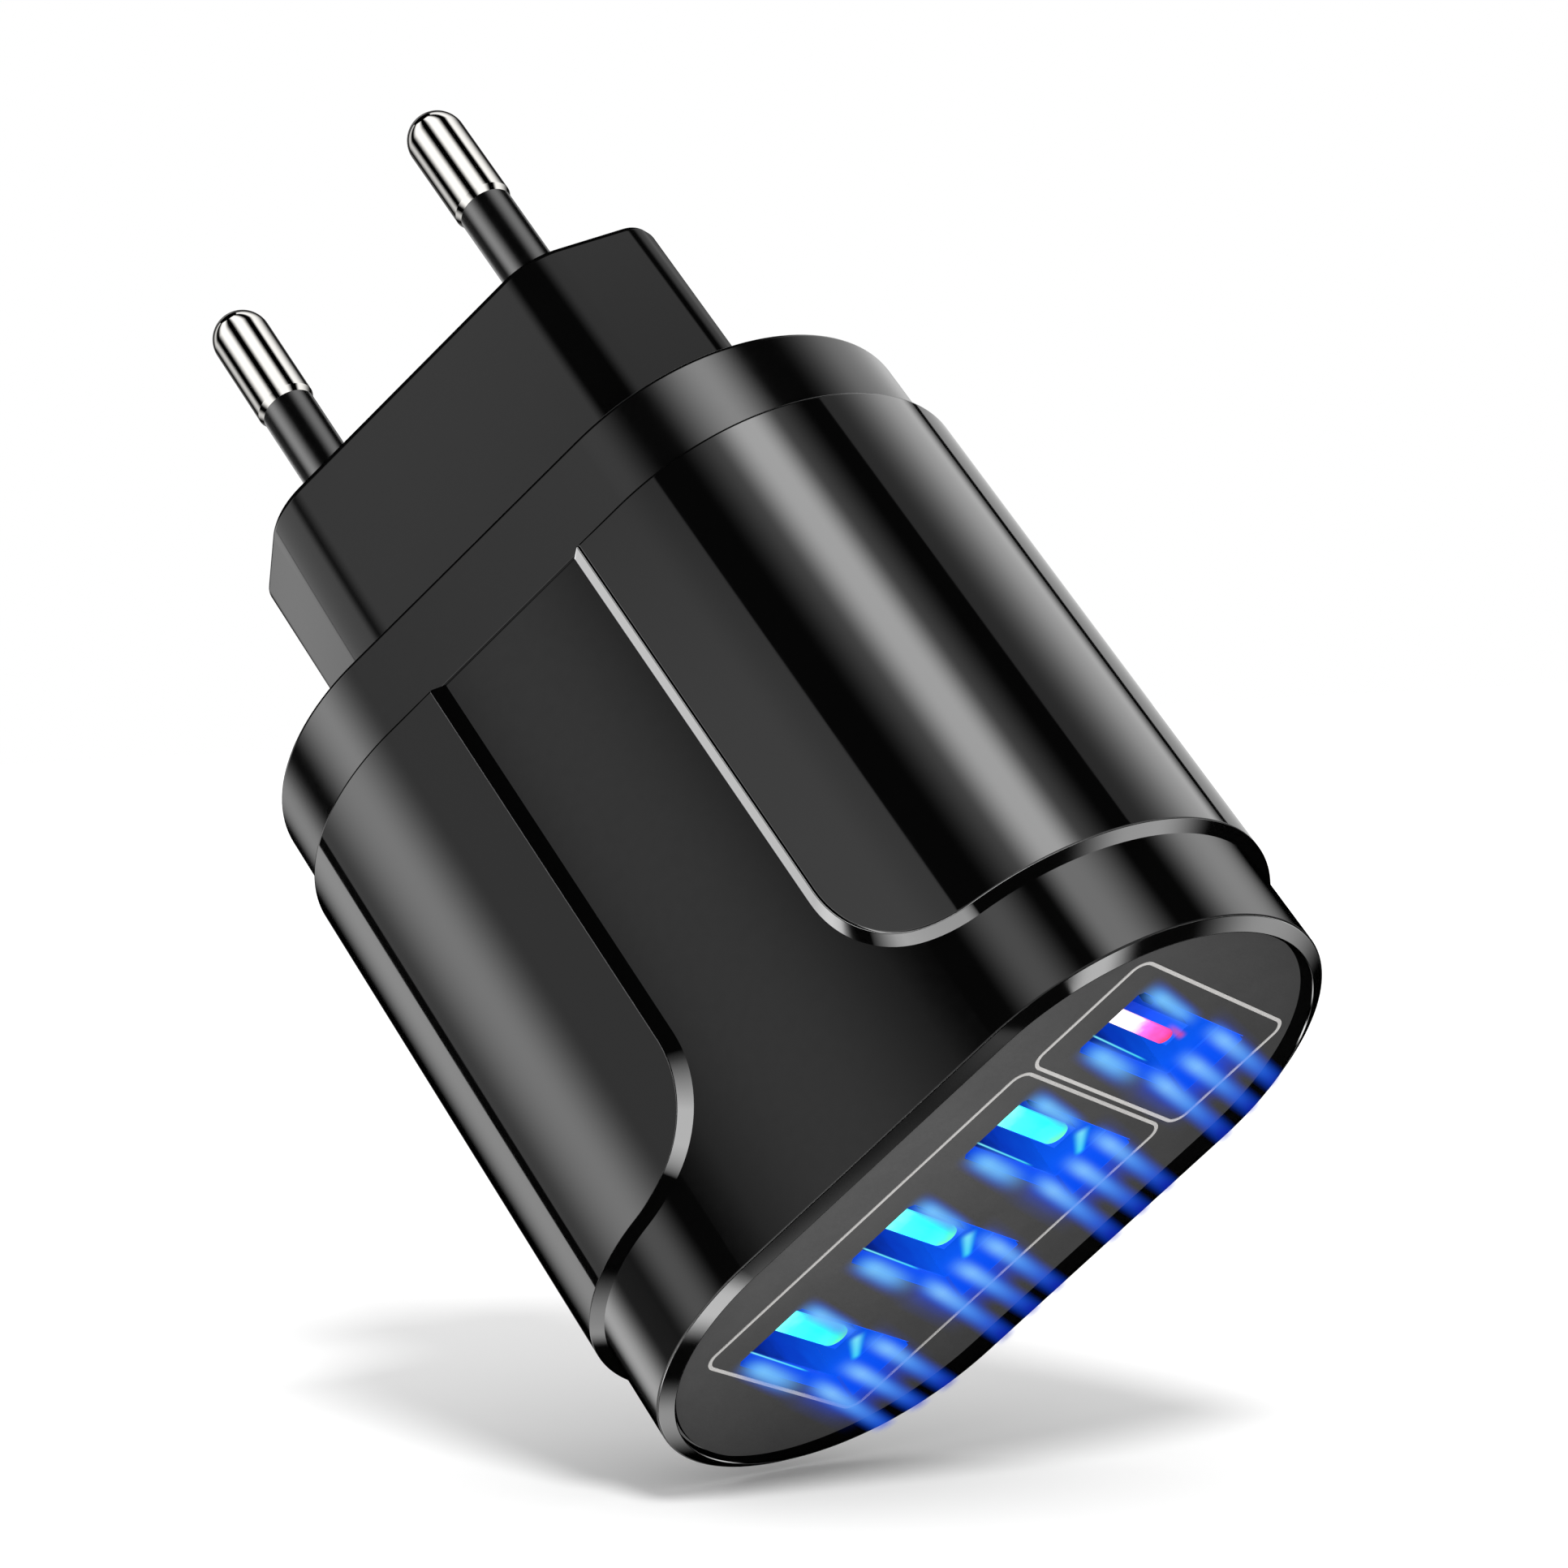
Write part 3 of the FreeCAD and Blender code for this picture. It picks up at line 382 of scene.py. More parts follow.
@dataclass(frozen=True)
class GlowingSurface:
    """A surface that glows, whose light changes colour up the port: it serves the lit light guides and linings, and
    paints a glow on the sockets' steel and the insulators, which are no lamps.
    """

    name: str
    tones: Tones
    strength: float
    deep: str
    low_mm: float = -4.9
    high_mm: float = 2.4
    front_mm: float = -66.05
    back_mm: float = -65.6
    streak_mm: float = 1.2
    waver: float = 0.3
    rough: float = 0.3

    def material(self) -> bpy.types.Material:
        """Fetch the glowing material, or build it."""
        return node_material(self.name, self.surface)

    def surface(self, tree: Tree) -> Socket:
        """Build the glow as emission, with its colours placed by height in the part's frame and broken by soft streaks;
        on the steel and the insulators it is painted light, and their darkening upwards is painted shade.

        Args:
            tree: the material's empty node tree.

        Returns:
            The shader's socket.
        """
        place = add_node(tree, "TexCoord").outputs["Object"]
        streak = add_node(tree, "TexNoise", {"Vector": place, "Scale": 1.0 / (self.streak_mm * MM), "Detail": 2.0})
        split = add_node(tree, "SeparateXYZ", {"Vector": place})
        share, depth = (
            add_node(tree, "MapRange", {"Value": split.outputs[axis], "From Min": first * MM,
                                        "From Max": last * MM}).outputs["Result"]
            for axis, first, last in (("Z", self.low_mm, self.high_mm), ("Y", self.front_mm, self.back_mm)))
        wave = add_node(tree, "Math", {0: streak.outputs["Fac"], 1: self.waver, 2: share}, operation="MULTIPLY_ADD")
        level = add_node(tree, "Math", {0: wave.outputs["Value"], 1: self.waver / 2.0}, operation="SUBTRACT")
        ramp = add_node(tree, "ValToRGB", {"Fac": level.outputs["Value"]})
        stops = ramp.color_ramp.elements
        stops.remove(stops[1])
        for number, (spot, code) in enumerate(self.tones):
            stop = stops[0] if number == 0 else stops.new(spot)
            stop.position, stop.color = spot, linear(code)
        tone = add_node(tree, "Mix", {"Factor": depth, "A": ramp.outputs["Color"], "B": linear(self.deep)},
                        data_type="RGBA").outputs["Result"]
        return add_node(tree, "BsdfPrincipled", {
            "Base Color": tone, "Emission Color": tone, "Emission Strength": self.strength,
            "Roughness": self.rough}).outputs["BSDF"]


# Polished tool steel leaves the raised panels as glossy ABS: near black, mirror sharp, with a trace of orange peel
GLOSS_ABS = Finish("gloss_black_abs", "#050505", "#080808", (0.035, 0.055), 2.5, bump=0.004)
# The side panels wear the same gloss, with the sheen taken off in the fine line where they meet the collar as a painted
# shade line
PANEL_ABS = replace(GLOSS_ABS, name="gloss_black_panel_abs", dull_mm=(25.05, 25.12))
# Spark-eroded tooling leaves a satin ABS: the same black with soft, spread reflections
SATIN_ABS = Finish("satin_black_abs", "#060606", "#090909", (0.10, 0.13), 0.5, bump=0.003)
# The tube between the panels is finer: satin to the touch, with clean edges to its reflections
FINE_ABS = Finish("fine_satin_black_abs", "#060606", "#090909", (0.04, 0.06), 0.8, bump=0.002)
# The plug block has even flats and soft folds, with a crisp change where a fold ends
BLOCK_ABS = Finish("satin_block_abs", "#060606", "#0a0a0a", (0.06, 0.09), 0.5, bump=0.003)
# The port plate is a paler charcoal ABS with a fine matt grain
PLATE_ABS = Finish("charcoal_plate_abs", "#2e2e2e", "#343434", (0.40, 0.50), 0.25, bump=0.04)
# Bright nickel plate on turned brass: a mirror that keeps a hint of polishing haze
NICKEL = Finish("bright_nickel_plate", "#dcdad6", "#e6e4e0", (0.04, 0.07), 0.6, bump=0.002, metallic=1.0)
# Moulded nylon sleeves: black with broad soft highlights
SLEEVE_NYLON = Finish("black_nylon_sleeve", "#060606", "#0a0a0a", (0.16, 0.20), 0.5, bump=0.002)
# Pad-printed ink: a flat pale grey that sits just proud of the plate
PRINT_INK = Finish("pale_grey_print_ink", "#c6c4c2", "#cfcdcb", (0.55, 0.65), 0.2)
# Drawn steel of the sockets, with the light inside painted on as a blue glow, darker towards the upper edge as painted
# shade
SOCKET_STEEL_PAINTED_GLOW = GlowingSurface("socket_steel_painted_glow", (
    (0.0, "#0a5cf8"), (0.4, "#0840d0"), (0.7, "#062690"), (1.0, "#041860")), 0.55, "#0534b8", -6.0, 5.0, -66.5, -58.0)
# Clear polycarbonate insulators, blue in their depth, with the ports' light painted on as a glow that darkens towards
# the upper edge as painted shade
TONGUE_BLUE_PAINTED_GLOW = GlowingSurface("blue_polycarbonate_painted_glow", (
    (0.0, "#0a5cf4"), (0.5, "#0846dc"), (0.8, "#04289c"), (1.0, "#031a74")), 0.8, "#0530a8")
# The light guides on their tips, edge lit by the lamps behind them: cyan, with a green end
GUIDE_CYAN = GlowingSurface("edge_lit_cyan_polycarbonate", (
    (0.0, "#5cd89c"), (0.12, "#38e4c0"), (0.35, "#22eef0"), (0.7, "#34f4f0"), (1.0, "#7cfff4")), 1.0, "#18c8e8")
# The fast port's light guide runs from white to magenta
GUIDE_PINK = GlowingSurface("edge_lit_pink_polycarbonate", (
    (0.0, "#d8304c"), (0.12, "#f83c90"), (0.42, "#ff5cc8"), (0.6, "#ffd8f4"), (1.0, "#ffffff")), 1.0, "#d858b0")
# Clear acrylic linings carry the lamps' blue through the plate
LINING_BLUE = GlowingSurface("lit_blue_acrylic", (
    (0.0, "#0a50e4"), (0.5, "#0848d8"), (1.0, "#0630b0")), 0.9, "#0540d0", -6.4, 6.4, -68.6, -66.0)
# Gold flash over brass: warm, with a soft shine
CONTACT_BRASS = Finish("gold_flashed_brass", "#c79a4b", "#dbb366", (0.20, 0.30), 0.3, metallic=1.0)
# Woven glass in epoxy: green with a low gloss
BOARD_GLASS = Finish("green_glass_epoxy", "#0f4a2b", "#14603a", (0.35, 0.50), 0.5, bump=0.02)
# Pressed and fired ferrite: grey black, dry and grainy
FERRITE = Finish("sintered_ferrite", "#2b2a2c", "#3a393b", (0.55, 0.70), 0.2, bump=0.05)
# Epoxy moulded round a chip: black with a dull bloom
MOULDED_EPOXY = Finish("moulded_black_epoxy", "#151515", "#1e1e1e", (0.45, 0.60), 0.15, bump=0.04)
# Wound polyester tape: yellow with a plain sheen
WINDING_TAPE = Finish("yellow_polyester_tape", "#d9a514", "#e8b92c", (0.30, 0.45), 0.8)
# Shrunk vinyl: blue grey with a soft gloss
CAN_SLEEVE = Finish("shrunk_blue_grey_sleeve", "#2b3140", "#363d4e", (0.35, 0.45), 0.8)
# Drawn aluminium: pale metal with a satin shine
CAN_METAL = Finish("drawn_aluminium_can", "#b9bbbd", "#cfd1d2", (0.25, 0.35), 0.3, metallic=1.0)
# Dipped enamel: a thick blue coat with a wet gloss
DISC_ENAMEL = Finish("dipped_blue_enamel", "#1d5fa8", "#2873c2", (0.25, 0.40), 0.6)
# A lit lens: clear blue that glows
LED_LENS = Finish("blue_led_lens", "#1238ff", "#2450ff", (0.20, 0.30), 0.4, glow="#2456ff", glow_strength=3.0)


class Slot(Enum):
    """Material slots of the record, each with the finish that its carried-over nodes wear."""

    black_gloss = GLOSS_ABS
    black_satin = SATIN_ABS
    plate_grey = PLATE_ABS
    nickel = NICKEL
    sleeve_black = SLEEVE_NYLON
    contact_brass = CONTACT_BRASS
    socket_steel = SOCKET_STEEL_PAINTED_GLOW
    tongue_blue = TONGUE_BLUE_PAINTED_GLOW
    board_green = BOARD_GLASS
    ferrite = FERRITE
    moulding_black = MOULDED_EPOXY
    winding_yellow = WINDING_TAPE
    can_sleeve = CAN_SLEEVE
    can_bare = CAN_METAL
    disc_blue = DISC_ENAMEL
    led_blue = LED_LENS


class Side(Enum):
    """The two ends of the port row."""

    right = 1.0
    left = -1.0


def dress(piece: Piece, finish: Finish | GlowingSurface) -> None:
    """Give a piece one finish all over."""
    piece.data.materials.clear()
    piece.data.materials.append(finish.material())


def settle(piece: Piece, slot: str, finish: Finish | GlowingSurface, *nodes: str) -> Piece:
    """Dress a new piece, fix it to the body and hide the carried-over nodes that it stands for.

    Args:
        piece: the new piece.
        slot: material slot of the record; not used.
        finish: the finish it wears.
        *nodes: carried-over nodes that it stands for.

    Returns:
        The piece.
    """
    dress(piece, finish)
    piece.visible_glossy = False
    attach(piece, BODY)
    if nodes:
        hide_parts(*nodes)
    LOG.info("built %s with %d faces", piece.name, len(piece.data.polygons))
    return piece


@dataclass(frozen=True)
class Section:
    """The body's cross section: a flat top and bottom joined by half-round ends."""

    half_span: float = 10.0
    radius: float = 14.3
    arc_steps: int = 73
    flat_steps: int = 9

    def sweep(self, corners: list[list[float]], radii: list[float], steps: int = 7, closed: bool = True) -> Patch:
        """Round a profile's corners and carry it once round the section.

        A profile point of depth d and radius r lies at r times the outward normal from the middle line of the
        section, at minus d along Y. The first row lies on the flat top, where Z is the radius.

        Args:
            corners: depth and radius of each corner.
            radii: rounding of each corner.
            steps: points on each round.
            closed: False for a profile whose ends lie on the section's middle line.

        Returns:
            A patch that closes round the section, and along the profile too where that is closed.
        """
        profile, _ = round_corners(np.array(corners), radii, steps, closed)
        flat = np.linspace(1.0, -1.0, self.flat_steps)[1:-1] * self.half_span
        bend = np.linspace(0.0, math.pi, self.arc_steps)
        middle = np.concatenate([flat, np.full_like(bend, -self.half_span), -flat, np.full_like(bend, self.half_span)])
        angle = np.concatenate([np.full_like(flat, math.pi / 2), math.pi / 2 + bend,
                                np.full_like(flat, 1.5 * math.pi), 1.5 * math.pi + bend])[:, None]
        east = middle[:, None] + profile[:, 1] * np.cos(angle)
        rise = profile[:, 1] * np.sin(angle)
        return Patch(np.stack([east, np.broadcast_to(-profile[:, 0], east.shape), rise], axis=-1), True, closed)

    def unrolled(self, along: Array, depth: Array, height: Array, side: Side) -> Array:
        """Wrap a flat sheet round one end of the section.

        The sheet's first measure runs from the middle of the top, along the flat, round the end and back along the
        underside. The last lifts a point off the section along its normal.

        Args:
            along: distance round the section.
            depth: distance from the plug block's end face.
            height: lift above the section.
            side: which end the sheet wraps.

        Returns:
            Points in the part's frame.
        """
        bend = np.clip((along - self.half_span) / self.radius, 0.0, math.pi)
        back = np.maximum(along - self.half_span - math.pi * self.radius, 0.0)
        reach = self.radius + height
        east = np.minimum(along, self.half_span) - back + reach * np.sin(bend)
        return np.stack([side.value * east, -depth, reach * np.cos(bend)], axis=-1)


SECTION = Section()


@dataclass
class ShellTube:
    """The main moulding's tube, its bevelled rim round the port plate and the lip inside the rim."""

    seam: float = 24.96
    bevel_start: float = 68.4
    rim: float = 68.95
    crest: float = 13.4
    land: float = 0.05
    rim_round: float = 0.04
    plate: float = 68.59
    foot: float = 13.2
    lip_overlap: float = 0.03
    lip_gap: float = 0.01
    lean: float = 1.35
    seat: float = 13.2
    ledge: float = 67.0
    bore: float = 12.5
    seam_round: float = 0.1
    section: Section = SECTION

    def build(self) -> tuple[Piece, Piece]:
        """Sweep the wall's closed profile, the rim's on top of it and the lip's inside the rim round the section.

        The lip's lower side leans over the plate's edge, so it shows below the plate: each point rises by the lean
        times its share of the way from the rim to the foot, times its place from the flat top, 0, to the underside, 1.

        Returns:
            The tube and the rim, which with the lip and the side panels stand for the whole shell.
        """
        outer, inner = self.section.radius, self.crest - self.land
        tube = mesh_from("shell_tube", [self.section.sweep(
            [[self.seam, outer], [self.bevel_start, outer], [self.bevel_start, self.seat], [self.ledge, self.seat],
             [self.ledge, self.bore], [self.seam, self.bore]],
            [self.seam_round, FINE_ROUND, FINE_ROUND, SMALL_ROUND, SMALL_ROUND, SMALL_ROUND])])
        rim = mesh_from("shell_rim", [self.section.sweep(
            [[self.bevel_start, outer], [self.rim, self.crest], [self.rim, inner], [self.bevel_start, inner]],
            [self.rim_round, FINE_ROUND, FINE_ROUND, FINE_ROUND])])
        skirt = self.section.sweep(
            [[self.bevel_start, inner + self.lip_overlap], [self.rim - self.lip_gap, inner - self.lip_gap],
             [self.plate, self.foot], [self.bevel_start, self.foot]],
            [FINE_ROUND, FINE_ROUND, self.rim_round, FINE_ROUND])
        radius = skirt.points[0, :, 2].copy()
        below = 0.5 - 0.5 * skirt.points[..., 2] / radius
        skirt.points[..., 2] += self.lean * below * np.clip((inner - radius) / (inner - self.foot), 0.0, 1.0)
        settle(mesh_from("rim_lip", [skirt]), "black_gloss", GLOSS_ABS)
        return settle(tube, "black_gloss", FINE_ABS, "main_shell"), settle(rim, "black_gloss", GLOSS_ABS)


@dataclass
class SidePanel:
    """A raised glossy panel that wraps one end of the shell, framed by a sloped edge with two rounded corners."""

    side: Side
    seam: float = 24.96
    end: float = 61.95
    half_strip: float = 5.65
    corner: float = 8.0
    rise: float = 0.75
    buried: float = 0.3
    squeeze: float = 0.4
    edge_land: float = 0.06
    face_land: float = 1.7
    edge_round: float = 0.05
    land_round: float = 0.03
    shadow_line: float = 0.12
    seam_bevel: float = 0.12
    straight_steps: int = 14
    corner_steps: int = 25
    end_steps: int = 121
    round_steps: int = 6
    section: Section = SECTION

    def outline(self) -> tuple[Array, Array]:
        """The panel's foot on the unrolled section, from the seam round its end and back to the seam.

        The second half mirrors the first, a straight run and a quarter turn.

        Returns:
            Points as distance round and depth, and the vector into the panel at each, shorter where the panel ends.
        """
        near, far = self.half_strip, 2.0 * self.section.half_span + math.pi * self.section.radius - self.half_strip
        turn = np.linspace(0.0, math.pi / 2, self.corner_steps)
        length = self.end - self.corner - self.seam
        run = self.seam + np.concatenate([[0.0], np.geomspace(self.seam_bevel, length, self.straight_steps)[:-1]])
        arc = np.stack([near + self.corner * (1 - np.cos(turn)), self.end - self.corner * (1 - np.sin(turn))], axis=1)
        first = np.concatenate([np.stack([np.full_like(run, near), run], axis=1), arc])
        across = np.linspace(near + self.corner, far - self.corner, self.end_steps)[1:-1]
        points = np.concatenate([first, np.stack([across, np.full_like(across, self.end)], axis=1),
                                 first[::-1] * [-1.0, 1.0] + [near + far, 0.0]])
        into = np.concatenate([np.tile([1.0, 0.0], (len(run), 1)), np.stack([np.cos(turn), -np.sin(turn)], axis=1)])
        inward = np.concatenate([into, np.tile([0.0, -1.0], (len(across), 1)), into[::-1] * [-1.0, 1.0]])
        return points, inward * (1.0 - self.squeeze * inward[:, 1:] ** 2)

    @property
    def line(self) -> float:
        """Width of the shadow line between the edge and the face, which the right panel alone shows."""
        return self.shadow_line if self.side is Side.right else 0.0

    def lifted(self, along: Array, depth: Array, height: Array) -> Array:
        """Wrap points on to the shell, with the panel's own edge at the seam taken off at 45 degrees.

        Args:
            along: distance round the section.
            depth: distance from the plug block's end face.
            height: lift above the section.

        Returns:
            Points in the part's frame.
        """
        taken = np.clip(self.seam_bevel - (depth - self.seam), 0.0, self.seam_bevel)
        held = np.where(height > 0.0, np.minimum(height, self.rise - taken), height)
        return self.section.unrolled(along, depth, held, self.side)

    def carried(self, corners: list[list[float]], radii: list[float] | float, closed: bool) -> Array:
        """Round a profile's corners and carry it along the outline.

        Args:
            corners: distance inside the foot and height above the section of each corner.
            radii: rounding of each corner.
            closed: False for a profile with two ends.

        Returns:
            A grid with one row for each outline point.
        """
        profile, _ = round_corners(np.array(corners), radii, self.round_steps, closed)
        points, inward = self.outline()
        spread = points[:, None, :] + inward[:, None, :] * profile[None, :, :1]
        return self.lifted(spread[..., 0], spread[..., 1], np.broadcast_to(profile[:, 1], spread.shape[:2]))

    def sheet(self, inset: float, height: float) -> Array:
        """A level sheet inside the outline: each line runs from the seam to the outline's edge.

        Args:
            inset: distance of the sheet's edge inside the foot.
            height: lift above the section.

        Returns:
            A grid of points whose edge matches a carried profile's row at that inset.
        """
        points, inward = self.outline()
        edge = points + inset * inward
        runs = self.straight_steps
        columns = edge[runs:len(edge) - runs]
        share = (edge[:runs + 1, 1] - self.seam) / (edge[runs, 1] - self.seam)
        depth = self.seam + (columns[:, 1] - self.seam)[:, None] * share[None, :]
        along = np.broadcast_to(columns[:, :1], depth.shape)
        return self.lifted(along, depth, np.full_like(depth, height))

    @staticmethod
    def caps(grid: Array) -> list[Patch]:
        """Close a grid's first and last row, each by a fan from the row's first point."""
        return [Patch(np.stack([np.broadcast_to(row[:1], row.shape), row])) for row in (grid[0], grid[-1])]

    def edge(self) -> Piece:
        """The sloped edge: a wedge carried along the outline and closed at the seam.

        Returns:
            The edge piece.
        """
        inner = self.rise + self.edge_land
        wedge = self.carried(
            [[-self.buried, -self.buried], [self.rise, self.rise], [inner, self.rise], [inner, -self.buried]],
            [FINE_ROUND, self.edge_round, self.land_round, FINE_ROUND], True)
        piece = mesh_from(f"panel_edge_{self.side.name}", [Patch(wedge, wrap_columns=True), *self.caps(wedge)])
        return settle(piece, "black_gloss", GLOSS_ABS)

    def face(self) -> Piece:
        """The level face: a top sheet with a fine round edge, its wall and a buried underside.

        Returns:
            The face piece.
        """
        wall = self.rise + self.edge_land + self.line
        side = self.carried([[wall, -self.buried], [wall, self.rise], [self.face_land, self.rise]],
                            self.edge_round, False)
        top, under = self.sheet(self.face_land, self.rise), self.sheet(wall, -self.buried)
        patches = [Patch(side), Patch(top), Patch(under), Patch(np.stack([under[:, 0], top[:, 0]])), *self.caps(side)]
        return settle(mesh_from(f"side_panel_{self.side.name}", patches), "black_gloss", PANEL_ABS)


@dataclass
class Collar:
    """The collar that closes the shell behind the plug block, a shallow cup with a rounded rear edge."""

    rear: float = 18.7
    seam: float = 24.84
    floor: float = 1.8
    spigot: float = 12.6
    edge_round: float = 0.4
    seam_round: float = 0.1
    inner_round: float = 0.1
    round_steps: int = 9
    section: Section = SECTION

    def build(self) -> Piece:
        """Sweep the cup's profile, whose floor closes on the section's middle line.

        Returns:
            The collar, which with the plug block stands for the rear housing.
        """
        outer, inside = self.section.radius, self.rear + self.floor
        cup = self.section.sweep(
            [[inside, 0.0], [inside, self.spigot], [self.seam, self.spigot], [self.seam, outer],
             [self.rear, outer], [self.rear, 0.0]],
            [self.inner_round, self.inner_round, SMALL_ROUND, self.seam_round, self.edge_round, self.inner_round],
            self.round_steps, closed=False)
        return settle(mesh_from("rear_collar", [cup]), "black_satin", SATIN_ABS, "rear_housing")


@dataclass
class PlugBlock:
    """The plug block: a long hexagon with soft folds and a rounded end face."""

    half_flat: float = 11.8
    half_thickness: float = 6.65
    half_width: float = 17.4
    half_end: float = 1.1
    length: float = 19.2
    top_fold: float = 5.6
    end_fold: float = 2.0
    edge_round: float = 0.7
    fold_steps: int = 17
    edge_steps: int = 9

    def build(self) -> Piece:
        """Carry the end's round along the folded outline and close both ends towards the middle.

        Returns:
            The block.
        """
        quarter = [(self.half_flat, self.half_thickness), (self.half_width, self.half_end)]
        right = quarter + [(east, -rise) for east, rise in quarter[::-1]]
        corners = np.array(right + [(-east, rise) for east, rise in right[::-1]])
        folds = [self.top_fold, self.end_fold, self.end_fold, self.top_fold] * 2
        turn = np.linspace(0.0, math.pi / 2, self.edge_steps)
        depth = np.concatenate([[self.length, self.length], self.edge_round * (1 - np.sin(turn)), np.zeros(2)])
        inset = np.concatenate([np.zeros(2), self.edge_round * (1 - np.cos(turn)), np.full(2, self.edge_round)])
        shrink = np.concatenate([[0.0], np.ones(len(turn) + 1), [0.5, 0.0]])
        points = rings(round_corners(corners, folds, self.fold_steps), depth, inset, shrink)
        return settle(mesh_from("plug_block", [Patch(points, wrap_rows=True)]), "black_satin", BLOCK_ABS)


@dataclass
class PlugPin:
    """One plug pin with its insulating sleeve, both turned about the pin's axis."""

    side: Side
    spacing: float = 19.0
    radius: float = 2.0
    reach: float = 19.0
    core: float = 1.4
    tail: float = 6.0
    tail_round: float = 0.1
    sleeve_length: float = 10.0
    sleeve_radius: float = 1.84
    sleeve_gap: float = 0.03
    lip_radius: float = 1.96
    lip_height: float = 0.7
    wall: float = 1.8
    bevel: float = 0.24
    bevel_length: float = 0.45
    bevel_round: float = 0.06
    inner_round: float = 0.03
    turn_steps: int = 96
    dome_steps: int = 25
    round_steps: int = 5

    def turned(self, name: str, profile: Array) -> Piece:
        """Turn a profile of radius and Y once about the pin's axis.

        Args:
            name: name of the piece.
            profile: rows of radius and place along Y.

        Returns:
            The turned piece.
        """
        angle = np.linspace(0.0, 2.0 * math.pi, self.turn_steps, endpoint=False)[:, None]
        radius, along = profile[:, 0], profile[:, 1]
        east = self.side.value * self.spacing / 2 + radius * np.cos(angle)
        points = np.stack([east, np.broadcast_to(along, east.shape), radius * np.sin(angle)], axis=-1)
        return mesh_from(name, [Patch(points, wrap_rows=True)])

    def build(self) -> tuple[Piece, Piece]:
        """Turn the pin, with its domed tip and bevelled shoulder, and the sleeve with its lip.

        Returns:
            The pin and the sleeve.
        """
        shoulder, fine = self.reach - self.radius, self.inner_round
        corners = np.array([[0.0, -self.tail], [self.core, -self.tail], [self.core, self.sleeve_length],
                            [self.radius - self.bevel, self.sleeve_length],
                            [self.radius, self.sleeve_length + self.bevel_length], [self.radius, shoulder]])
        radii = [self.tail_round, self.tail_round, fine, self.bevel_round, self.bevel_round, self.tail_round]
        body, _ = round_corners(corners, radii, self.round_steps, closed=False)
        turn = np.linspace(0.0, math.pi / 2, self.dome_steps)[1:]
        dome = np.stack([self.radius * np.cos(turn), shoulder + self.radius * np.sin(turn)], axis=1)
        pin = self.turned(f"pin_{self.side.name}", np.vstack([body, dome]))
        gap = self.core + self.sleeve_gap
        corners = np.array([[gap, -self.wall], [self.lip_radius, -self.wall], [self.lip_radius, self.lip_height],
                            [self.sleeve_radius, self.lip_height + self.lip_radius - self.sleeve_radius],
                            [self.sleeve_radius, self.sleeve_length], [gap, self.sleeve_length]])
        loop, _ = round_corners(corners, [fine, fine, SMALL_ROUND, SMALL_ROUND, SMALL_ROUND, fine], self.round_steps)
        sleeve = self.turned(f"sleeve_{self.side.name}", np.vstack([loop, loop[:1]]))
        return (settle(pin, "nickel", NICKEL, f"plug_pin_{self.side.name}"),
                settle(sleeve, "sleeve_black", SLEEVE_NYLON, f"pin_sleeve_{self.side.name}"))


def crisp(name: str, points: Array, closed: bool) -> Piece:
    """Make a small piece of rings with sharp edges.

    Args:
        name: name of the piece.
        points: grid with one row for each outline point.
        closed: True where the last ring meets the first.

    Returns:
        The piece.
    """
    piece = mesh_from(name, [Patch(points, True, closed)])
    piece.data.set_sharp_from_angle(angle=SHARP_ANGLE)
    return piece


@dataclass
class PrintedFrame:
    """A thin printed line with rounded corners that frames one group of ports on the plate."""

    name: str
    east: tuple[float, float]
    rise: tuple[float, float]
    corner: float = 1.1
    width: float = 0.25
    depth: float = 68.6
    sunk: float = 0.01
    height: float = 0.03
    corner_steps: int = 13

    def build(self) -> None:
        """Carry the line's flat section round the frame's outline."""
        sunk, proud = self.depth - self.sunk, self.depth + self.height
        points = rings(box_outline(self.east, self.rise, self.corner, self.corner_steps),
                       [sunk, proud, proud, sunk], [0.0, 0.0, self.width, self.width])
        settle(crisp(self.name, points, True), "plate_grey", PRINT_INK)


@dataclass
class SlotLining:
    """The clear lining of one slot in the port plate."""

    number: int
    centre: float
    half_width: float = 2.6
    half_height: float = 6.4
    corner: float = 0.3
    wall: float = 0.06
    front: float = 68.56
    back: float = 67.02
    corner_steps: int = 7

    def build(self) -> None:
        """Carry the lining's thin section round the slot's outline."""
        flat = box_outline((-self.half_width, self.half_width), (-self.half_height, self.half_height), self.corner,
                           self.corner_steps)
        points = rings(flat, [self.front, self.front, self.back, self.back], [0.0, self.wall, self.wall, 0.0],
                       centre=(self.centre, 0.0))
        piece = crisp(f"slot_lining_{self.number}", points, True)
        piece.visible_diffuse = False
        settle(piece, "tongue_blue", LINING_BLUE)


@dataclass
class LightGuide:
    """The lit strip with rounded ends on the tip of one port's insulator."""

    number: int
    centre: float
    finish: GlowingSurface
    offset: float = -0.4
    half_width: float = 0.85
    low: float = -4.9
    high: float = 5.5
    back: float = 65.88
    front: float = 66.05
    roundness: float = 0.98
    corner_steps: int = 13

    def build(self) -> None:
        """Carry the strip's edge round its outline and close both faces towards the middle."""
        half = (self.high - self.low) / 2.0
        flat = box_outline((-self.half_width, self.half_width), (-half, half), self.roundness * self.half_width,
                           self.corner_steps)
        points = rings(flat, [self.back, self.back, self.front, self.front], shrink=[0.0, 1.0, 1.0, 0.0],
                       centre=(self.centre + self.offset, (self.high + self.low) / 2.0))
        piece = crisp(f"light_guide_{self.number}", points, False)
        piece.visible_diffuse = False
        settle(piece, "tongue_blue", self.finish)


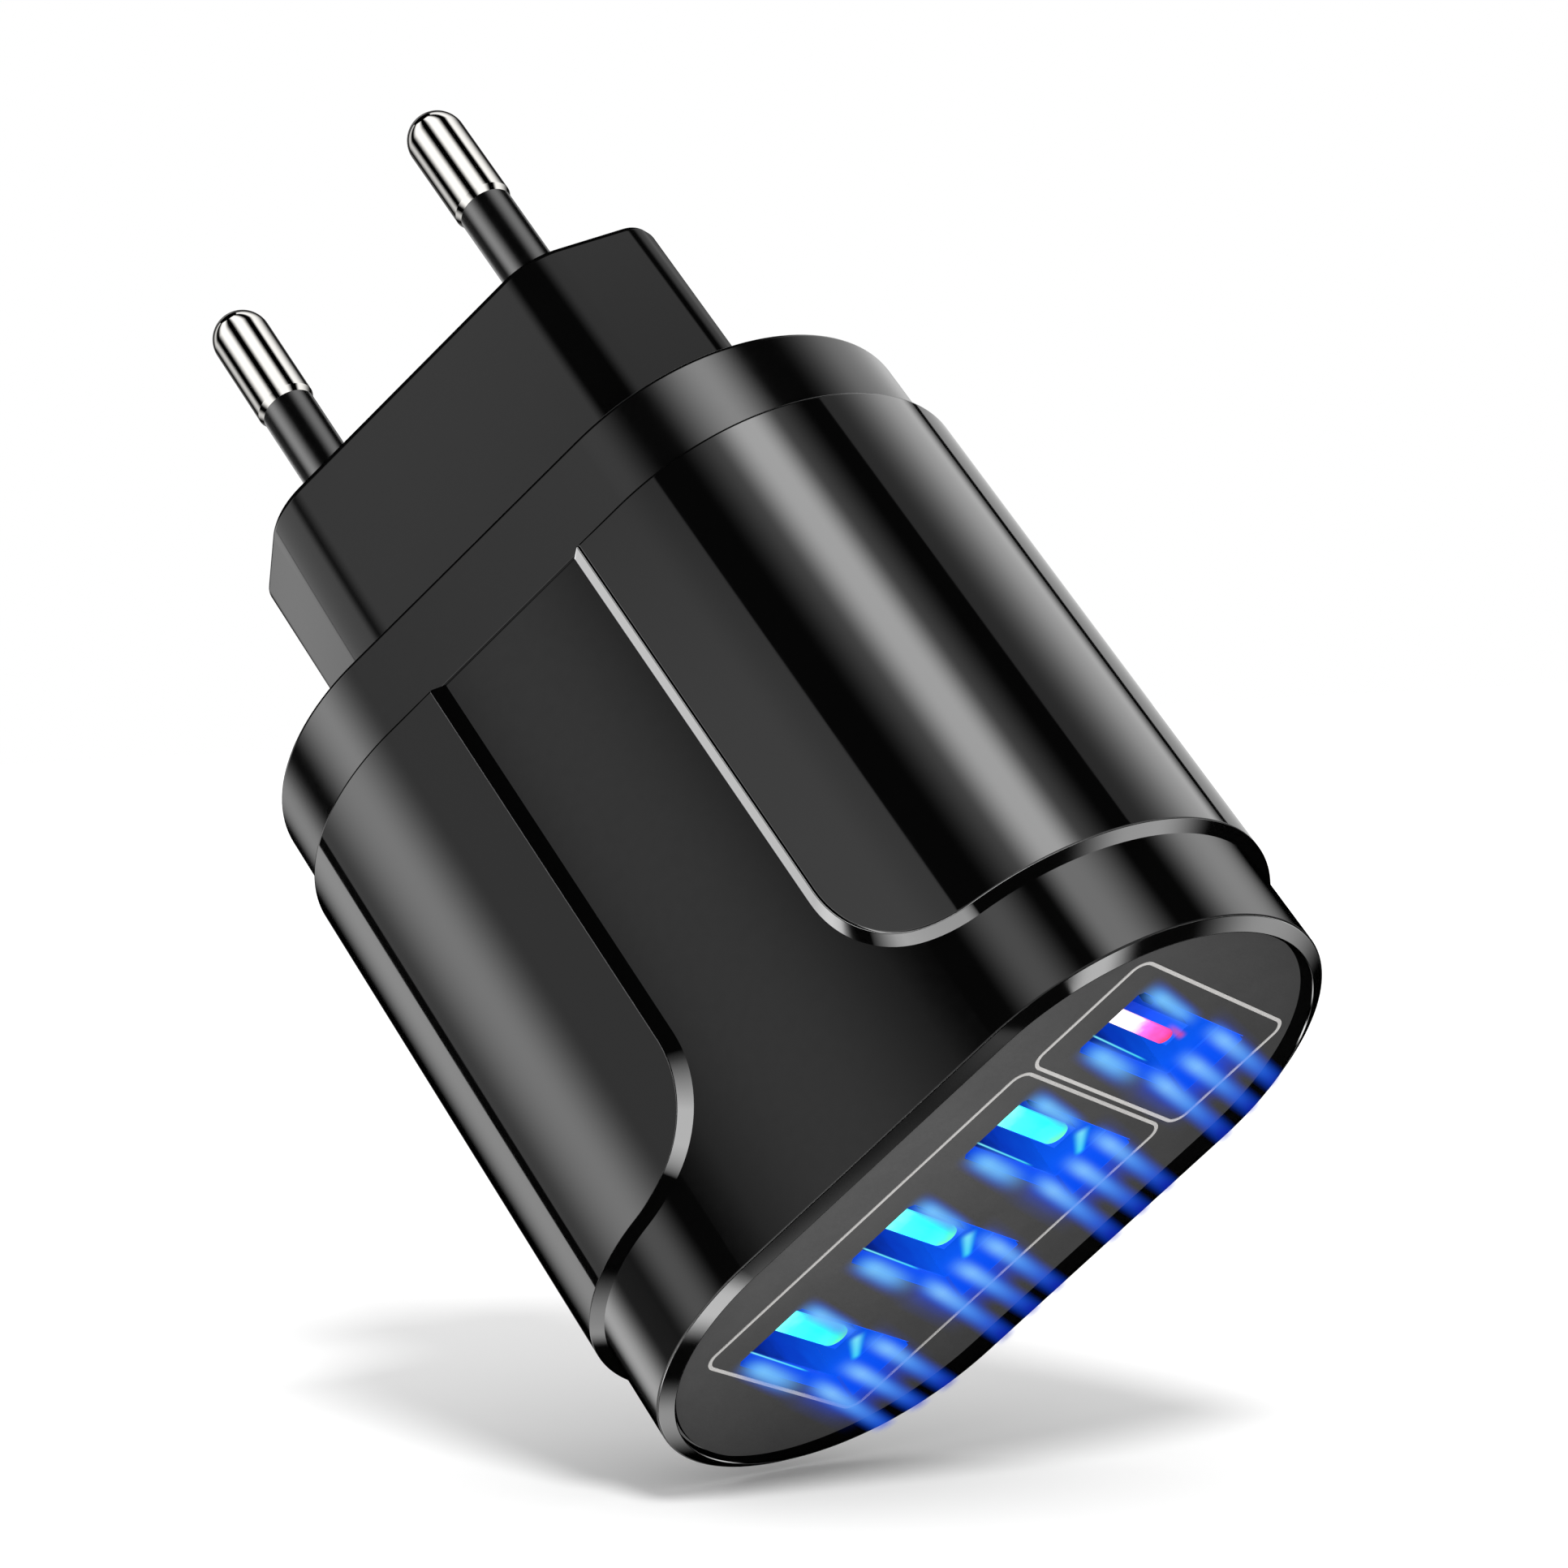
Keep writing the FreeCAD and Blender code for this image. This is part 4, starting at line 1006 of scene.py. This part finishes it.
Window = tuple[float, float, float, float]
EVERYWHERE: Window = (-99.0, -98.0, 98.0, 99.0)
PORTS: Window = (-99.0, -98.0, -0.15, 0.15)
PINS: Window = (-0.15, 0.15, 98.0, 99.0)
SEEN: Window = (-99.0, -98.0, 0.95, 1.3)
MIDDLE: Window = (0.2, 0.4, 0.95, 1.3)


@dataclass(frozen=True)
class Strip:
    """One soft strip of a light tent, by angle about Y in degrees, with an eased edge at either side.

    The window keeps the strip to a stretch of the tent: four places along Y, in shares of the tent's radius, where
    it begins, is whole, is whole for the last time and ends.
    """

    start: float
    end: float
    rise: float
    fall: float
    radiance: float
    window: Window

    def at(self, angle: Array, along: Array) -> Array:
        """Radiance of the strip at each place.

        Args:
            angle: angles about Y, in degrees.
            along: places along Y, in shares of the tent's radius.

        Returns:
            The radiance, eased in after the strip's start and out before its end.
        """
        past = (angle - self.start) % 360.0
        span = (self.end - self.start) % 360.0
        level = np.where(past < span, smooth(past / self.rise) * smooth((span - past) / self.fall), 0.0)
        return self.radiance * level * np.interp(along, self.window, (0.0, 1.0, 1.0, 0.0))


def strips_in(window: Window, *rows: tuple[float, float, float, float, float]) -> tuple[Strip, ...]:
    """Make strips of one window from rows of start, end, rise, fall and radiance."""
    return tuple(Strip(*row, window) for row in rows)


@dataclass
class LightTent:
    """A wide paper tube about Y, lit in strips, which only its own pieces of the charger reflect."""

    name: str
    strips: tuple[Strip, ...]
    radius: float
    reach: float = 3.5
    turn_steps: int = 720
    along_step: float = 0.1

    def build(self, receivers: list[Piece]) -> None:
        """Make the lit part of the tube, with the strips' radiance as an attribute, and link it to its receivers.

        Args:
            receivers: pieces that reflect it.
        """
        angle = np.linspace(0.0, 2.0 * math.pi, self.turn_steps, endpoint=False)
        along = np.linspace(-self.reach, self.reach, round(2.0 * self.reach / self.along_step) + 1)
        turned, placed = np.meshgrid(angle, along, indexing="ij")
        level = sum(strip.at(np.degrees(turned), placed) for strip in self.strips).ravel()
        tube = Patch(self.radius * MM * np.stack([np.cos(turned), placed, np.sin(turned)], axis=-1), wrap_rows=True)
        quads = tube.quads(0)
        used, faces = np.unique(quads[level[quads].max(axis=1) > 0.0], return_inverse=True)
        mesh = bpy.data.meshes.new(self.name)
        mesh.from_pydata(tube.points.reshape(-1, 3)[used].tolist(), [], faces.reshape(-1, 4).tolist())
        mesh.attributes.new("radiance", "FLOAT", "POINT").data.foreach_set("value", level[used].astype(np.float32))
        mesh.materials.append(node_material(f"{self.name}_paper", self.paper, sampled=False))
        tent = linked(self.name, mesh)
        light_only(tent, receivers)
        tent.visible_camera = tent.visible_diffuse = tent.visible_transmission = tent.visible_shadow = False

    def paper(self, tree: Tree) -> Socket:
        """Build the lit paper, which lets light through between its strips.

        Args:
            tree: the material's empty node tree.

        Returns:
            The shader's socket.
        """
        level = add_node(tree, "Attribute", attribute_name="radiance").outputs["Fac"]
        light = add_node(tree, "Emission", {"Strength": level}).outputs[0]
        clear = add_node(tree, "BsdfTransparent").outputs[0]
        return add_node(tree, "AddShader", {0: light, 1: clear}).outputs[0]


PANEL_STRIPS = strips_in(
    SEEN, (19.0, 53.0, 14.0, 16.0, 6.0), (3.0, 70.0, 32.0, 30.0, 1.9), (84.6, 181.0, 0.6, 0.6, 0.45),
    (86.0, 140.0, 22.0, 34.0, 0.25), (113.0, 178.0, 28.0, 38.0, 2.9), (187.0, 224.0, 0.6, 40.0, 2.05),
    (294.5, 355.0, 0.6, 0.6, 0.35), (294.5, 350.0, 10.0, 36.0, 1.95), (236.0, 291.0, 20.0, 0.6, 0.8),
) + strips_in((-99.0, -98.0, 0.56, 0.70), (84.6, 109.5, 0.6, 2.0, 0.45))
COLLAR_STRIPS = strips_in(
    SEEN, (10.0, 68.0, 26.0, 34.0, 5.2), (78.0, 130.0, 20.0, 30.0, 0.95), (111.0, 170.0, 28.0, 34.0, 4.0),
    (174.0, 228.0, 22.0, 32.0, 1.25), (236.0, 354.0, 50.0, 38.0, 1.15))
TUBE_STRIPS = strips_in(
    MIDDLE, (0.0, 48.0, 30.0, 14.0, 3.5), (52.0, 93.5, 20.0, 20.0, 1.62), (106.2, 111.6, 2.6, 2.4, 0.78),
    (122.0, 162.0, 18.0, 20.0, 1.45), (176.0, 222.0, 22.0, 22.0, 1.95), (150.0, 230.0, 15.0, 25.0, 0.12),
    (278.0, 350.0, 44.0, 26.0, 2.0),
) + strips_in(
    PORTS, (16.0, 82.0, 26.0, 26.0, 1.6), (90.0, 168.0, 24.0, 30.0, 1.0), (186.0, 262.0, 30.0, 26.0, 1.4),
    (276.0, 350.0, 26.0, 30.0, 1.2))
RIGHT_EDGE_STRIPS = (
    strips_in((0.05, 0.22, 98.0, 99.0), (184.2, 230.0, 2.5, 12.0, 3.7), (184.2, 197.0, 2.5, 10.0, 3.0))
    + strips_in((-12.0, -4.0, -0.45, -0.12), (145.0, 190.0, 12.0, 4.0, 7.0))
    + strips_in((-4.0, -3.0, -0.5, 0.0), (298.0, 331.0, 14.0, 14.0, 6.2))
    + strips_in(PINS, (10.0, 102.0, 20.0, 8.0, 14.0)))
LEFT_EDGE_STRIPS = (
    strips_in((-2.6, -1.0, -0.4, 0.25), (8.0, 60.0, 8.0, 20.0, 11.0))
    + strips_in(EVERYWHERE, (197.0, 219.0, 12.0, 5.0, 2.8)))
RIM_STRIPS = (
    strips_in(EVERYWHERE, (203.0, 231.0, 11.0, 18.0, 2.9), (273.5, 316.0, 27.0, 16.0, 4.1))
    + strips_in((-3.6, -2.3, 98.0, 99.0), (171.8, 193.9, 9.0, 9.0, 10.6))
    + strips_in(PORTS, (168.0, 190.0, 5.0, 5.0, 0.2))
    + strips_in((-99.0, -98.0, -3.8, -3.55), (166.5, 173.9, 3.0, 0.5, 0.8))
    + strips_in((-14.0, -11.0, -2.2, -2.0), (328.2, 356.0, 9.0, 15.0, 10.6)))
BLOCK_STRIPS = strips_in(
    SEEN, (4.0, 56.0, 10.0, 18.0, 0.66), (90.0, 128.0, 16.0, 21.0, 0.86), (123.0, 182.0, 14.0, 2.0, 1.1),
    (181.0, 226.0, 2.0, 44.0, 1.65), (270.0, 352.0, 34.0, 20.0, 0.5))
PIN_STRIPS = strips_in(
    EVERYWHERE, (290.0, 358.0, 50.0, 14.0, 1.3), (12.0, 72.0, 22.0, 18.0, 1.4), (84.0, 148.0, 22.0, 26.0, 1.4),
    (158.0, 206.0, 20.0, 26.0, 0.75), (206.0, 290.0, 30.0, 40.0, 0.2))
SLEEVE_STRIPS = strips_in(
    EVERYWHERE, (318.0, 44.0, 40.0, 40.0, 2.6), (76.0, 166.0, 48.0, 42.0, 4.6), (150.0, 260.0, 40.0, 40.0, 0.15),
    (190.0, 250.0, 34.0, 24.0, 0.8), (262.0, 300.0, 18.0, 18.0, 0.6))


@dataclass(frozen=True)
class Stroke:
    """One smear of light that leaves a port: a soft ribbon from one place to another beside the port's middle."""

    start: tuple[float, float]
    end: tuple[float, float]
    width: tuple[float, float]
    tones: Tones
    strength: float = 1.0
    fade: tuple[float, float] = (0.12, 0.04)
    tail: float = 1.0
    edge: str = "#0c50f4"
    limit: float = 13.1
    limit_fade: float = 1.0
    steps: int = 33
    across: int = 13

    def grid(self, centre: float, depth: float) -> tuple[Array, Array, Array]:
        """Lay the ribbon on a plane before the plate.

        Args:
            centre: the port's place along X.
            depth: the plane's depth.

        Returns:
            A grid of points, the colour at each and the cover at each. The cover falls off as a soft bell to the
            sides, and to nothing at the limit of the plate.
        """
        share = np.linspace(0.0, 1.0, self.steps)[:, None]
        side = np.linspace(-1.0, 1.0, self.across)[None, :]
        start, end = np.array(self.start), np.array(self.end)
        normal = unit((end - start)[::-1] * [1.0, -1.0])
        half = (self.width[0] + (self.width[1] - self.width[0]) * share) / 2.0
        flat = start + (end - start) * share[..., None] + normal * (half * side)[..., None]
        points = np.stack([centre + flat[..., 0], np.full_like(half * side, -depth), flat[..., 1]], axis=-1)
        spots, colours = [spot for spot, _ in self.tones], np.array([linear(code) for _, code in self.tones])
        core = np.stack([np.interp(share[:, 0], spots, part) for part in colours.T], axis=-1)
        bell = (1.0 - side ** 2) ** 2
        edge = np.array(linear(self.edge))
        tone = edge + (core[:, None, :] - edge) * bell[..., None]
        cover = self.strength * bell * smooth(share / self.fade[0]) * smooth((1.0 - share) / self.fade[1])
        reach = np.hypot(np.maximum(np.abs(points[..., 0]) - SECTION.half_span, 0.0), points[..., 2])
        cover = cover * (1.0 + (self.tail - 1.0) * smooth(share)) * smooth((self.limit - reach) / self.limit_fade)
        return points, tone, cover


LONG_RUN = ((0.0, "#4c98ff"), (0.25, "#80c0ff"), (0.5, "#5098ff"), (0.7, "#2868f4"), (0.86, "#1430cc"),
            (1.0, "#081070"))
SHORT_RUN = ((0.0, "#3a90ff"), (0.35, "#78c4ff"), (1.0, "#4a90f4"))
HAZE_RUN = ((0.0, "#0a5cff"), (0.6, "#0c4cf0"), (1.0, "#0a28c0"))
CYAN_RUN = ((0.0, "#8cf4ff"), (1.0, "#30dcf8"))
ROSE_RUN = ((0.0, "#b85cb0"), (1.0, "#f04878"))
PORT_STROKES = (
    Stroke((0.3, 1.2), (-1.1, -9.0), (8.4, 7.6), HAZE_RUN, 0.9, (0.3, 0.5)),
    Stroke((3.35, 8.5), (2.5, 0.2), (2.4, 1.8), SHORT_RUN, 0.95, (0.3, 0.35)),
    Stroke((-1.6, 8.4), (-2.4, -0.6), (2.5, 2.9), SHORT_RUN, 0.95, (0.3, 0.5)),
    Stroke((-0.76, 8.26), (-0.93, 1.33), (0.2, 0.2), CYAN_RUN, 1.0, (0.05, 0.2), 1.0, "#30c0ff"),
    *(Stroke(start, end, (2.3, 1.8), LONG_RUN, 1.0, (0.22, 0.03), 0.6) for start, end in (
        ((2.75, 0.4), (0.82, -13.9)), ((0.45, 0.3), (-1.3, -13.9)), ((-1.4, 1.3), (-3.72, -13.9)))),
)
# The glint beside a light guide's tip: rose in the fast port, cyan in the others
ROSE_GLINT = Stroke((1.8, 3.4), (1.45, 0.6), (0.9, 0.9), ROSE_RUN, 0.7, (0.5, 0.25), 1.0, "#6040d0")
CYAN_GLINT = Stroke((2.75, 1.1), (0.9, -1.3), (1.6, 0.8), CYAN_RUN, 0.85, (0.25, 0.2), 1.0, "#18c8f0")


@dataclass
class PortGlow:
    """The smears of light that one lit port throws over the plate and the rim."""

    number: int
    centre: float
    strokes: tuple[Stroke, ...]
    depth: float = 69.45
    layer: float = 0.02

    def build(self) -> None:
        """Make one sheet of all the port's smears, seen by the camera alone."""
        grids, tones, covers = zip(*(
            stroke.grid(self.centre, self.depth + self.layer * place) for place, stroke in enumerate(self.strokes)))
        sheet = mesh_from(f"port_streaks_{self.number}", [Patch(points) for points in grids], solid=False)
        places = np.concatenate([points.reshape(-1, 3) for points in grids])
        _, first = np.unique(np.round(places / WELD).astype(np.int64), axis=0, return_index=True)
        tone = np.concatenate([part.reshape(-1, 4) for part in tones])[first].astype(np.float32)
        cover = np.concatenate([part.ravel() for part in covers])[first].astype(np.float32)
        sheet.data.attributes.new("tone", "FLOAT_COLOR", "POINT").data.foreach_set("color", tone.ravel())
        sheet.data.attributes.new("cover", "FLOAT", "POINT").data.foreach_set("value", cover)
        sheet.data.materials.append(node_material("port_light", self.light, sampled=False))
        sheet.visible_diffuse = sheet.visible_glossy = sheet.visible_transmission = sheet.visible_shadow = False

    def light(self, tree: Tree) -> Socket:
        """Build the smears' light, clear where their cover is nil.

        Args:
            tree: the material's empty node tree.

        Returns:
            The shader's socket.
        """
        tone = add_node(tree, "Attribute", attribute_name="tone").outputs["Color"]
        cover = add_node(tree, "Attribute", attribute_name="cover").outputs["Fac"]
        light = add_node(tree, "Emission", {"Color": tone, "Strength": 1.0}).outputs[0]
        clear = add_node(tree, "BsdfTransparent").outputs[0]
        return add_node(tree, "MixShader", {0: cover, 1: clear, 2: light}).outputs[0]


@dataclass
class Studio:
    """Camera, world, white floor and lamps of the picture."""

    eye: Vector = field(default_factory=lambda: Vector((92.22, -217.31, 283.37)))
    right: Vector = field(default_factory=lambda: Vector((0.6985, -0.4860, -0.5253)))
    up: Vector = field(default_factory=lambda: Vector((0.6689, 0.7043, 0.2378)))
    focal_px: float = 7002.0
    image_px: float = 1932.0
    sensor: float = 36.0
    clip_m: tuple[float, float] = (0.01, 50.0)
    matt_light: float = 0.8
    floor_tilt: float = 2.7
    floor_roll: float = 3.0
    floor_gap: float = 0.4
    floor_half: float = 1200.0
    floor_mottle_mm: float = 50.0
    floor_glow: float = 0.08
    key_lean: float = 39.0
    key_side: float = 6.0
    key_spread: float = 14.0
    key_energy: float = 1.8
    plate_lamp: tuple[float, float, float] = (0.0, -95.0, 35.0)
    plate_aim: tuple[float, float, float] = (0.0, -26.0, 35.0)
    plate_lamp_size: tuple[float, float] = (60.0, 6.0)
    plate_energy: float = 0.06

    @property
    def back(self) -> Vector:
        """Direction from the picture towards the camera."""
        return self.right.cross(self.up)

    @property
    def normal(self) -> Vector:
        """The floor's upward direction, tilted towards the camera and rolled to the picture's right."""
        tilt, roll = math.radians(self.floor_tilt), math.radians(self.floor_roll)
        level = self.up * math.cos(tilt) + self.back * math.sin(tilt)
        return level * math.cos(roll) - self.right * math.sin(roll)

    def camera(self) -> None:
        """Set the camera at the picture's viewing angle."""
        lens = bpy.data.cameras.new("view_camera")
        lens.sensor_fit, lens.sensor_width = "HORIZONTAL", self.sensor
        lens.lens = self.focal_px / self.image_px * self.sensor
        lens.clip_start, lens.clip_end = self.clip_m
        camera = linked("view_camera", lens)
        turn = Matrix((self.right, self.up, self.back)).transposed().to_4x4()
        camera.matrix_world = Matrix.Translation(self.eye * MM) @ turn
        bpy.context.scene.camera = camera

    def world(self) -> None:
        """White behind the charger, even light on matt surfaces, and nothing but the tents in the gloss."""
        world = bpy.data.worlds.new("studio_world")
        bpy.context.scene.world = world
        world.use_nodes = True
        tree = world.node_tree
        tree.nodes.clear()
        path = add_node(tree, "LightPath").outputs
        matt, gloss, white = (add_node(tree, "Background", {"Color": WHITE, "Strength": level}).outputs[0]
                              for level in (self.matt_light, 0.0, 1.0))
        inner = add_node(tree, "MixShader", {0: path["Is Glossy Ray"], 1: matt, 2: gloss}).outputs[0]
        outer = add_node(tree, "MixShader", {0: path["Is Camera Ray"], 1: inner, 2: white}).outputs[0]
        add_node(tree, "OutputWorld", {"Surface": outer})

    def floor(self, lowest_of: list[Piece]) -> Piece:
        """Lay a white floor just under the charger's lowest point, as the picture's shadow places it.

        Args:
            lowest_of: pieces that may touch the floor.

        Returns:
            The floor.
        """
        normal = np.array(self.normal)
        heights = []
        for piece in lowest_of:
            places = np.empty(3 * len(piece.data.vertices), np.float32)
            piece.data.vertices.foreach_get("co", places)
            heights.append(float((places.reshape(-1, 3) @ normal).min()) / MM)
        second = unit(np.cross(normal, np.array(self.right)))
        first = np.cross(second, normal)
        reach = np.linspace(-self.floor_half, self.floor_half, 3)
        grid = normal * (min(heights) - self.floor_gap) + reach[:, None, None] * first + reach[None, :, None] * second
        floor = mesh_from("floor", [Patch(grid)], solid=False)
        floor.data.materials.append(node_material("white_studio_floor", self.paint))
        floor.visible_glossy = floor.visible_shadow = False
        return floor

    def paint(self, tree: Tree) -> Socket:
        """Build the floor's white paint, which is clear from below.

        Args:
            tree: the material's empty node tree.

        Returns:
            The shader's socket.
        """
        place = add_node(tree, "TexCoord").outputs["Object"]
        mottle = add_node(tree, "TexNoise", {"Vector": place, "Scale": 1.0 / (self.floor_mottle_mm * MM)})
        tone = add_node(tree, "Mix", {"Factor": mottle.outputs["Fac"], "A": linear("#f6f6f6"), "B": linear("#fafafa")},
                        data_type="RGBA").outputs["Result"]
        matt = add_node(tree, "BsdfDiffuse", {"Color": tone}).outputs[0]
        glow = add_node(tree, "Emission", {"Color": tone, "Strength": self.floor_glow}).outputs[0]
        lit = add_node(tree, "AddShader", {0: matt, 1: glow}).outputs[0]
        clear = add_node(tree, "BsdfTransparent").outputs[0]
        behind = add_node(tree, "NewGeometry").outputs["Backfacing"]
        return add_node(tree, "MixShader", {0: behind, 1: lit, 2: clear}).outputs[0]

    def lamp(self, name: str, kind: str, aim: Vector, top: str, receivers: list[Piece]) -> Piece:
        """Hang a lamp that lights its receivers alone.

        Args:
            name: name of the lamp.
            kind: Blender's name for the kind of light.
            aim: direction from what is lit towards the lamp.
            top: the lamp's own axis that stays upright.
            receivers: the only pieces that it lights.

        Returns:
            The lamp, at the origin.
        """
        light = linked(name, bpy.data.lights.new(name, kind))
        light.rotation_mode = "QUATERNION"
        light.rotation_quaternion = aim.to_track_quat("Z", top)
        light_only(light, receivers)
        return light

    def key_light(self, floor: Piece) -> None:
        """Hang a soft light before and over the floor, which drops the charger's shadow on it.

        Args:
            floor: the floor.
        """
        lean, side = math.radians(self.key_lean), math.radians(self.key_side)
        aim = self.normal * math.cos(lean) + self.back * math.sin(lean) + self.right * math.sin(side)
        light = self.lamp("key_light", "SUN", aim, "Y", [floor])
        light.data.energy, light.data.angle = self.key_energy, math.radians(self.key_spread)

    def plate_light(self, plate: Piece) -> None:
        """Set a long lamp before the upper edge of the port plate, which pales the plate towards that edge.

        Args:
            plate: the plate.
        """
        light = self.lamp("plate_light", "AREA", Vector(self.plate_aim), "X", [plate])
        light.location = Vector(self.plate_lamp) * MM
        light.data.shape, light.data.energy = "RECTANGLE", self.plate_energy
        light.data.size, light.data.size_y = (side * MM for side in self.plate_lamp_size)


def dress_nodes(nodes: dict[str, Piece]) -> None:
    """Give every carried-over node the finish of its material slot.

    Args:
        nodes: carried-over objects by name.
    """
    for entry in frame["record"]["subparts"]:
        node = nodes.get(entry["node"])
        if node:
            dress(node, Slot[entry["material_slot"]].value)
            node.visible_glossy = node.visible_diffuse = False


def main() -> None:
    """Build and dress the charger, then set up the studio round it."""
    logging.basicConfig(level=logging.INFO, format="%(name)s: %(message)s")
    nodes = frame["nodes"]
    dress_nodes(nodes)
    tube, rim = ShellTube().build()
    panels = [SidePanel(side) for side in Side]
    faces, (right_edge, left_edge) = [panel.face() for panel in panels], [panel.edge() for panel in panels]
    collar = Collar().build()
    block = PlugBlock().build()
    pins, sleeves = zip(*(PlugPin(side).build() for side in Side))
    PrintedFrame("port_frame_single", (9.25, 18.5), (-8.6, 9.1)).build()
    PrintedFrame("port_frame_three", (-17.35, 8.95), (-7.7, 9.2)).build()
    studio = Studio()
    studio.camera()
    studio.world()
    tents = (("panel_tent", PANEL_STRIPS, faces), ("collar_tent", COLLAR_STRIPS, [collar]),
             ("tube_tent", TUBE_STRIPS, [tube]), ("right_edge_tent", RIGHT_EDGE_STRIPS, [right_edge]),
             ("left_edge_tent", LEFT_EDGE_STRIPS, [left_edge]), ("rim_tent", RIM_STRIPS, [rim]),
             ("block_tent", BLOCK_STRIPS, [block]), ("pin_tent", PIN_STRIPS, pins),
             ("sleeve_tent", SLEEVE_STRIPS, sleeves))
    reaches = {"right_edge_tent": 12.0, "rim_tent": 14.0}
    for place, (name, strips, receivers) in enumerate(tents):
        LightTent(name, strips, TENT_RADIUS + TENT_STEP * place, reaches.get(name, LightTent.reach)).build(receivers)
    for number, centre in enumerate(PORT_CENTRES, start=1):
        SlotLining(number, centre).build()
        guide, glint = LightGuide(number, centre, GUIDE_CYAN), CYAN_GLINT
        if number == FAST_PORT:
            guide, glint = LightGuide(number, centre, GUIDE_PINK, offset=-0.85, half_width=0.55), ROSE_GLINT
        guide.build()
        PortGlow(number, centre, (*PORT_STROKES, glint)).build()
    floor = studio.floor([tube, *faces])
    studio.key_light(floor)
    studio.plate_light(nodes["port_panel"])
    bpy.context.scene.view_settings.view_transform = "Standard"
    cycles = bpy.context.scene.cycles
    cycles.min_transparent_bounces = cycles.transparent_max_bounces = CLEAR_BOUNCES


if __name__ == "__main__":
    main()
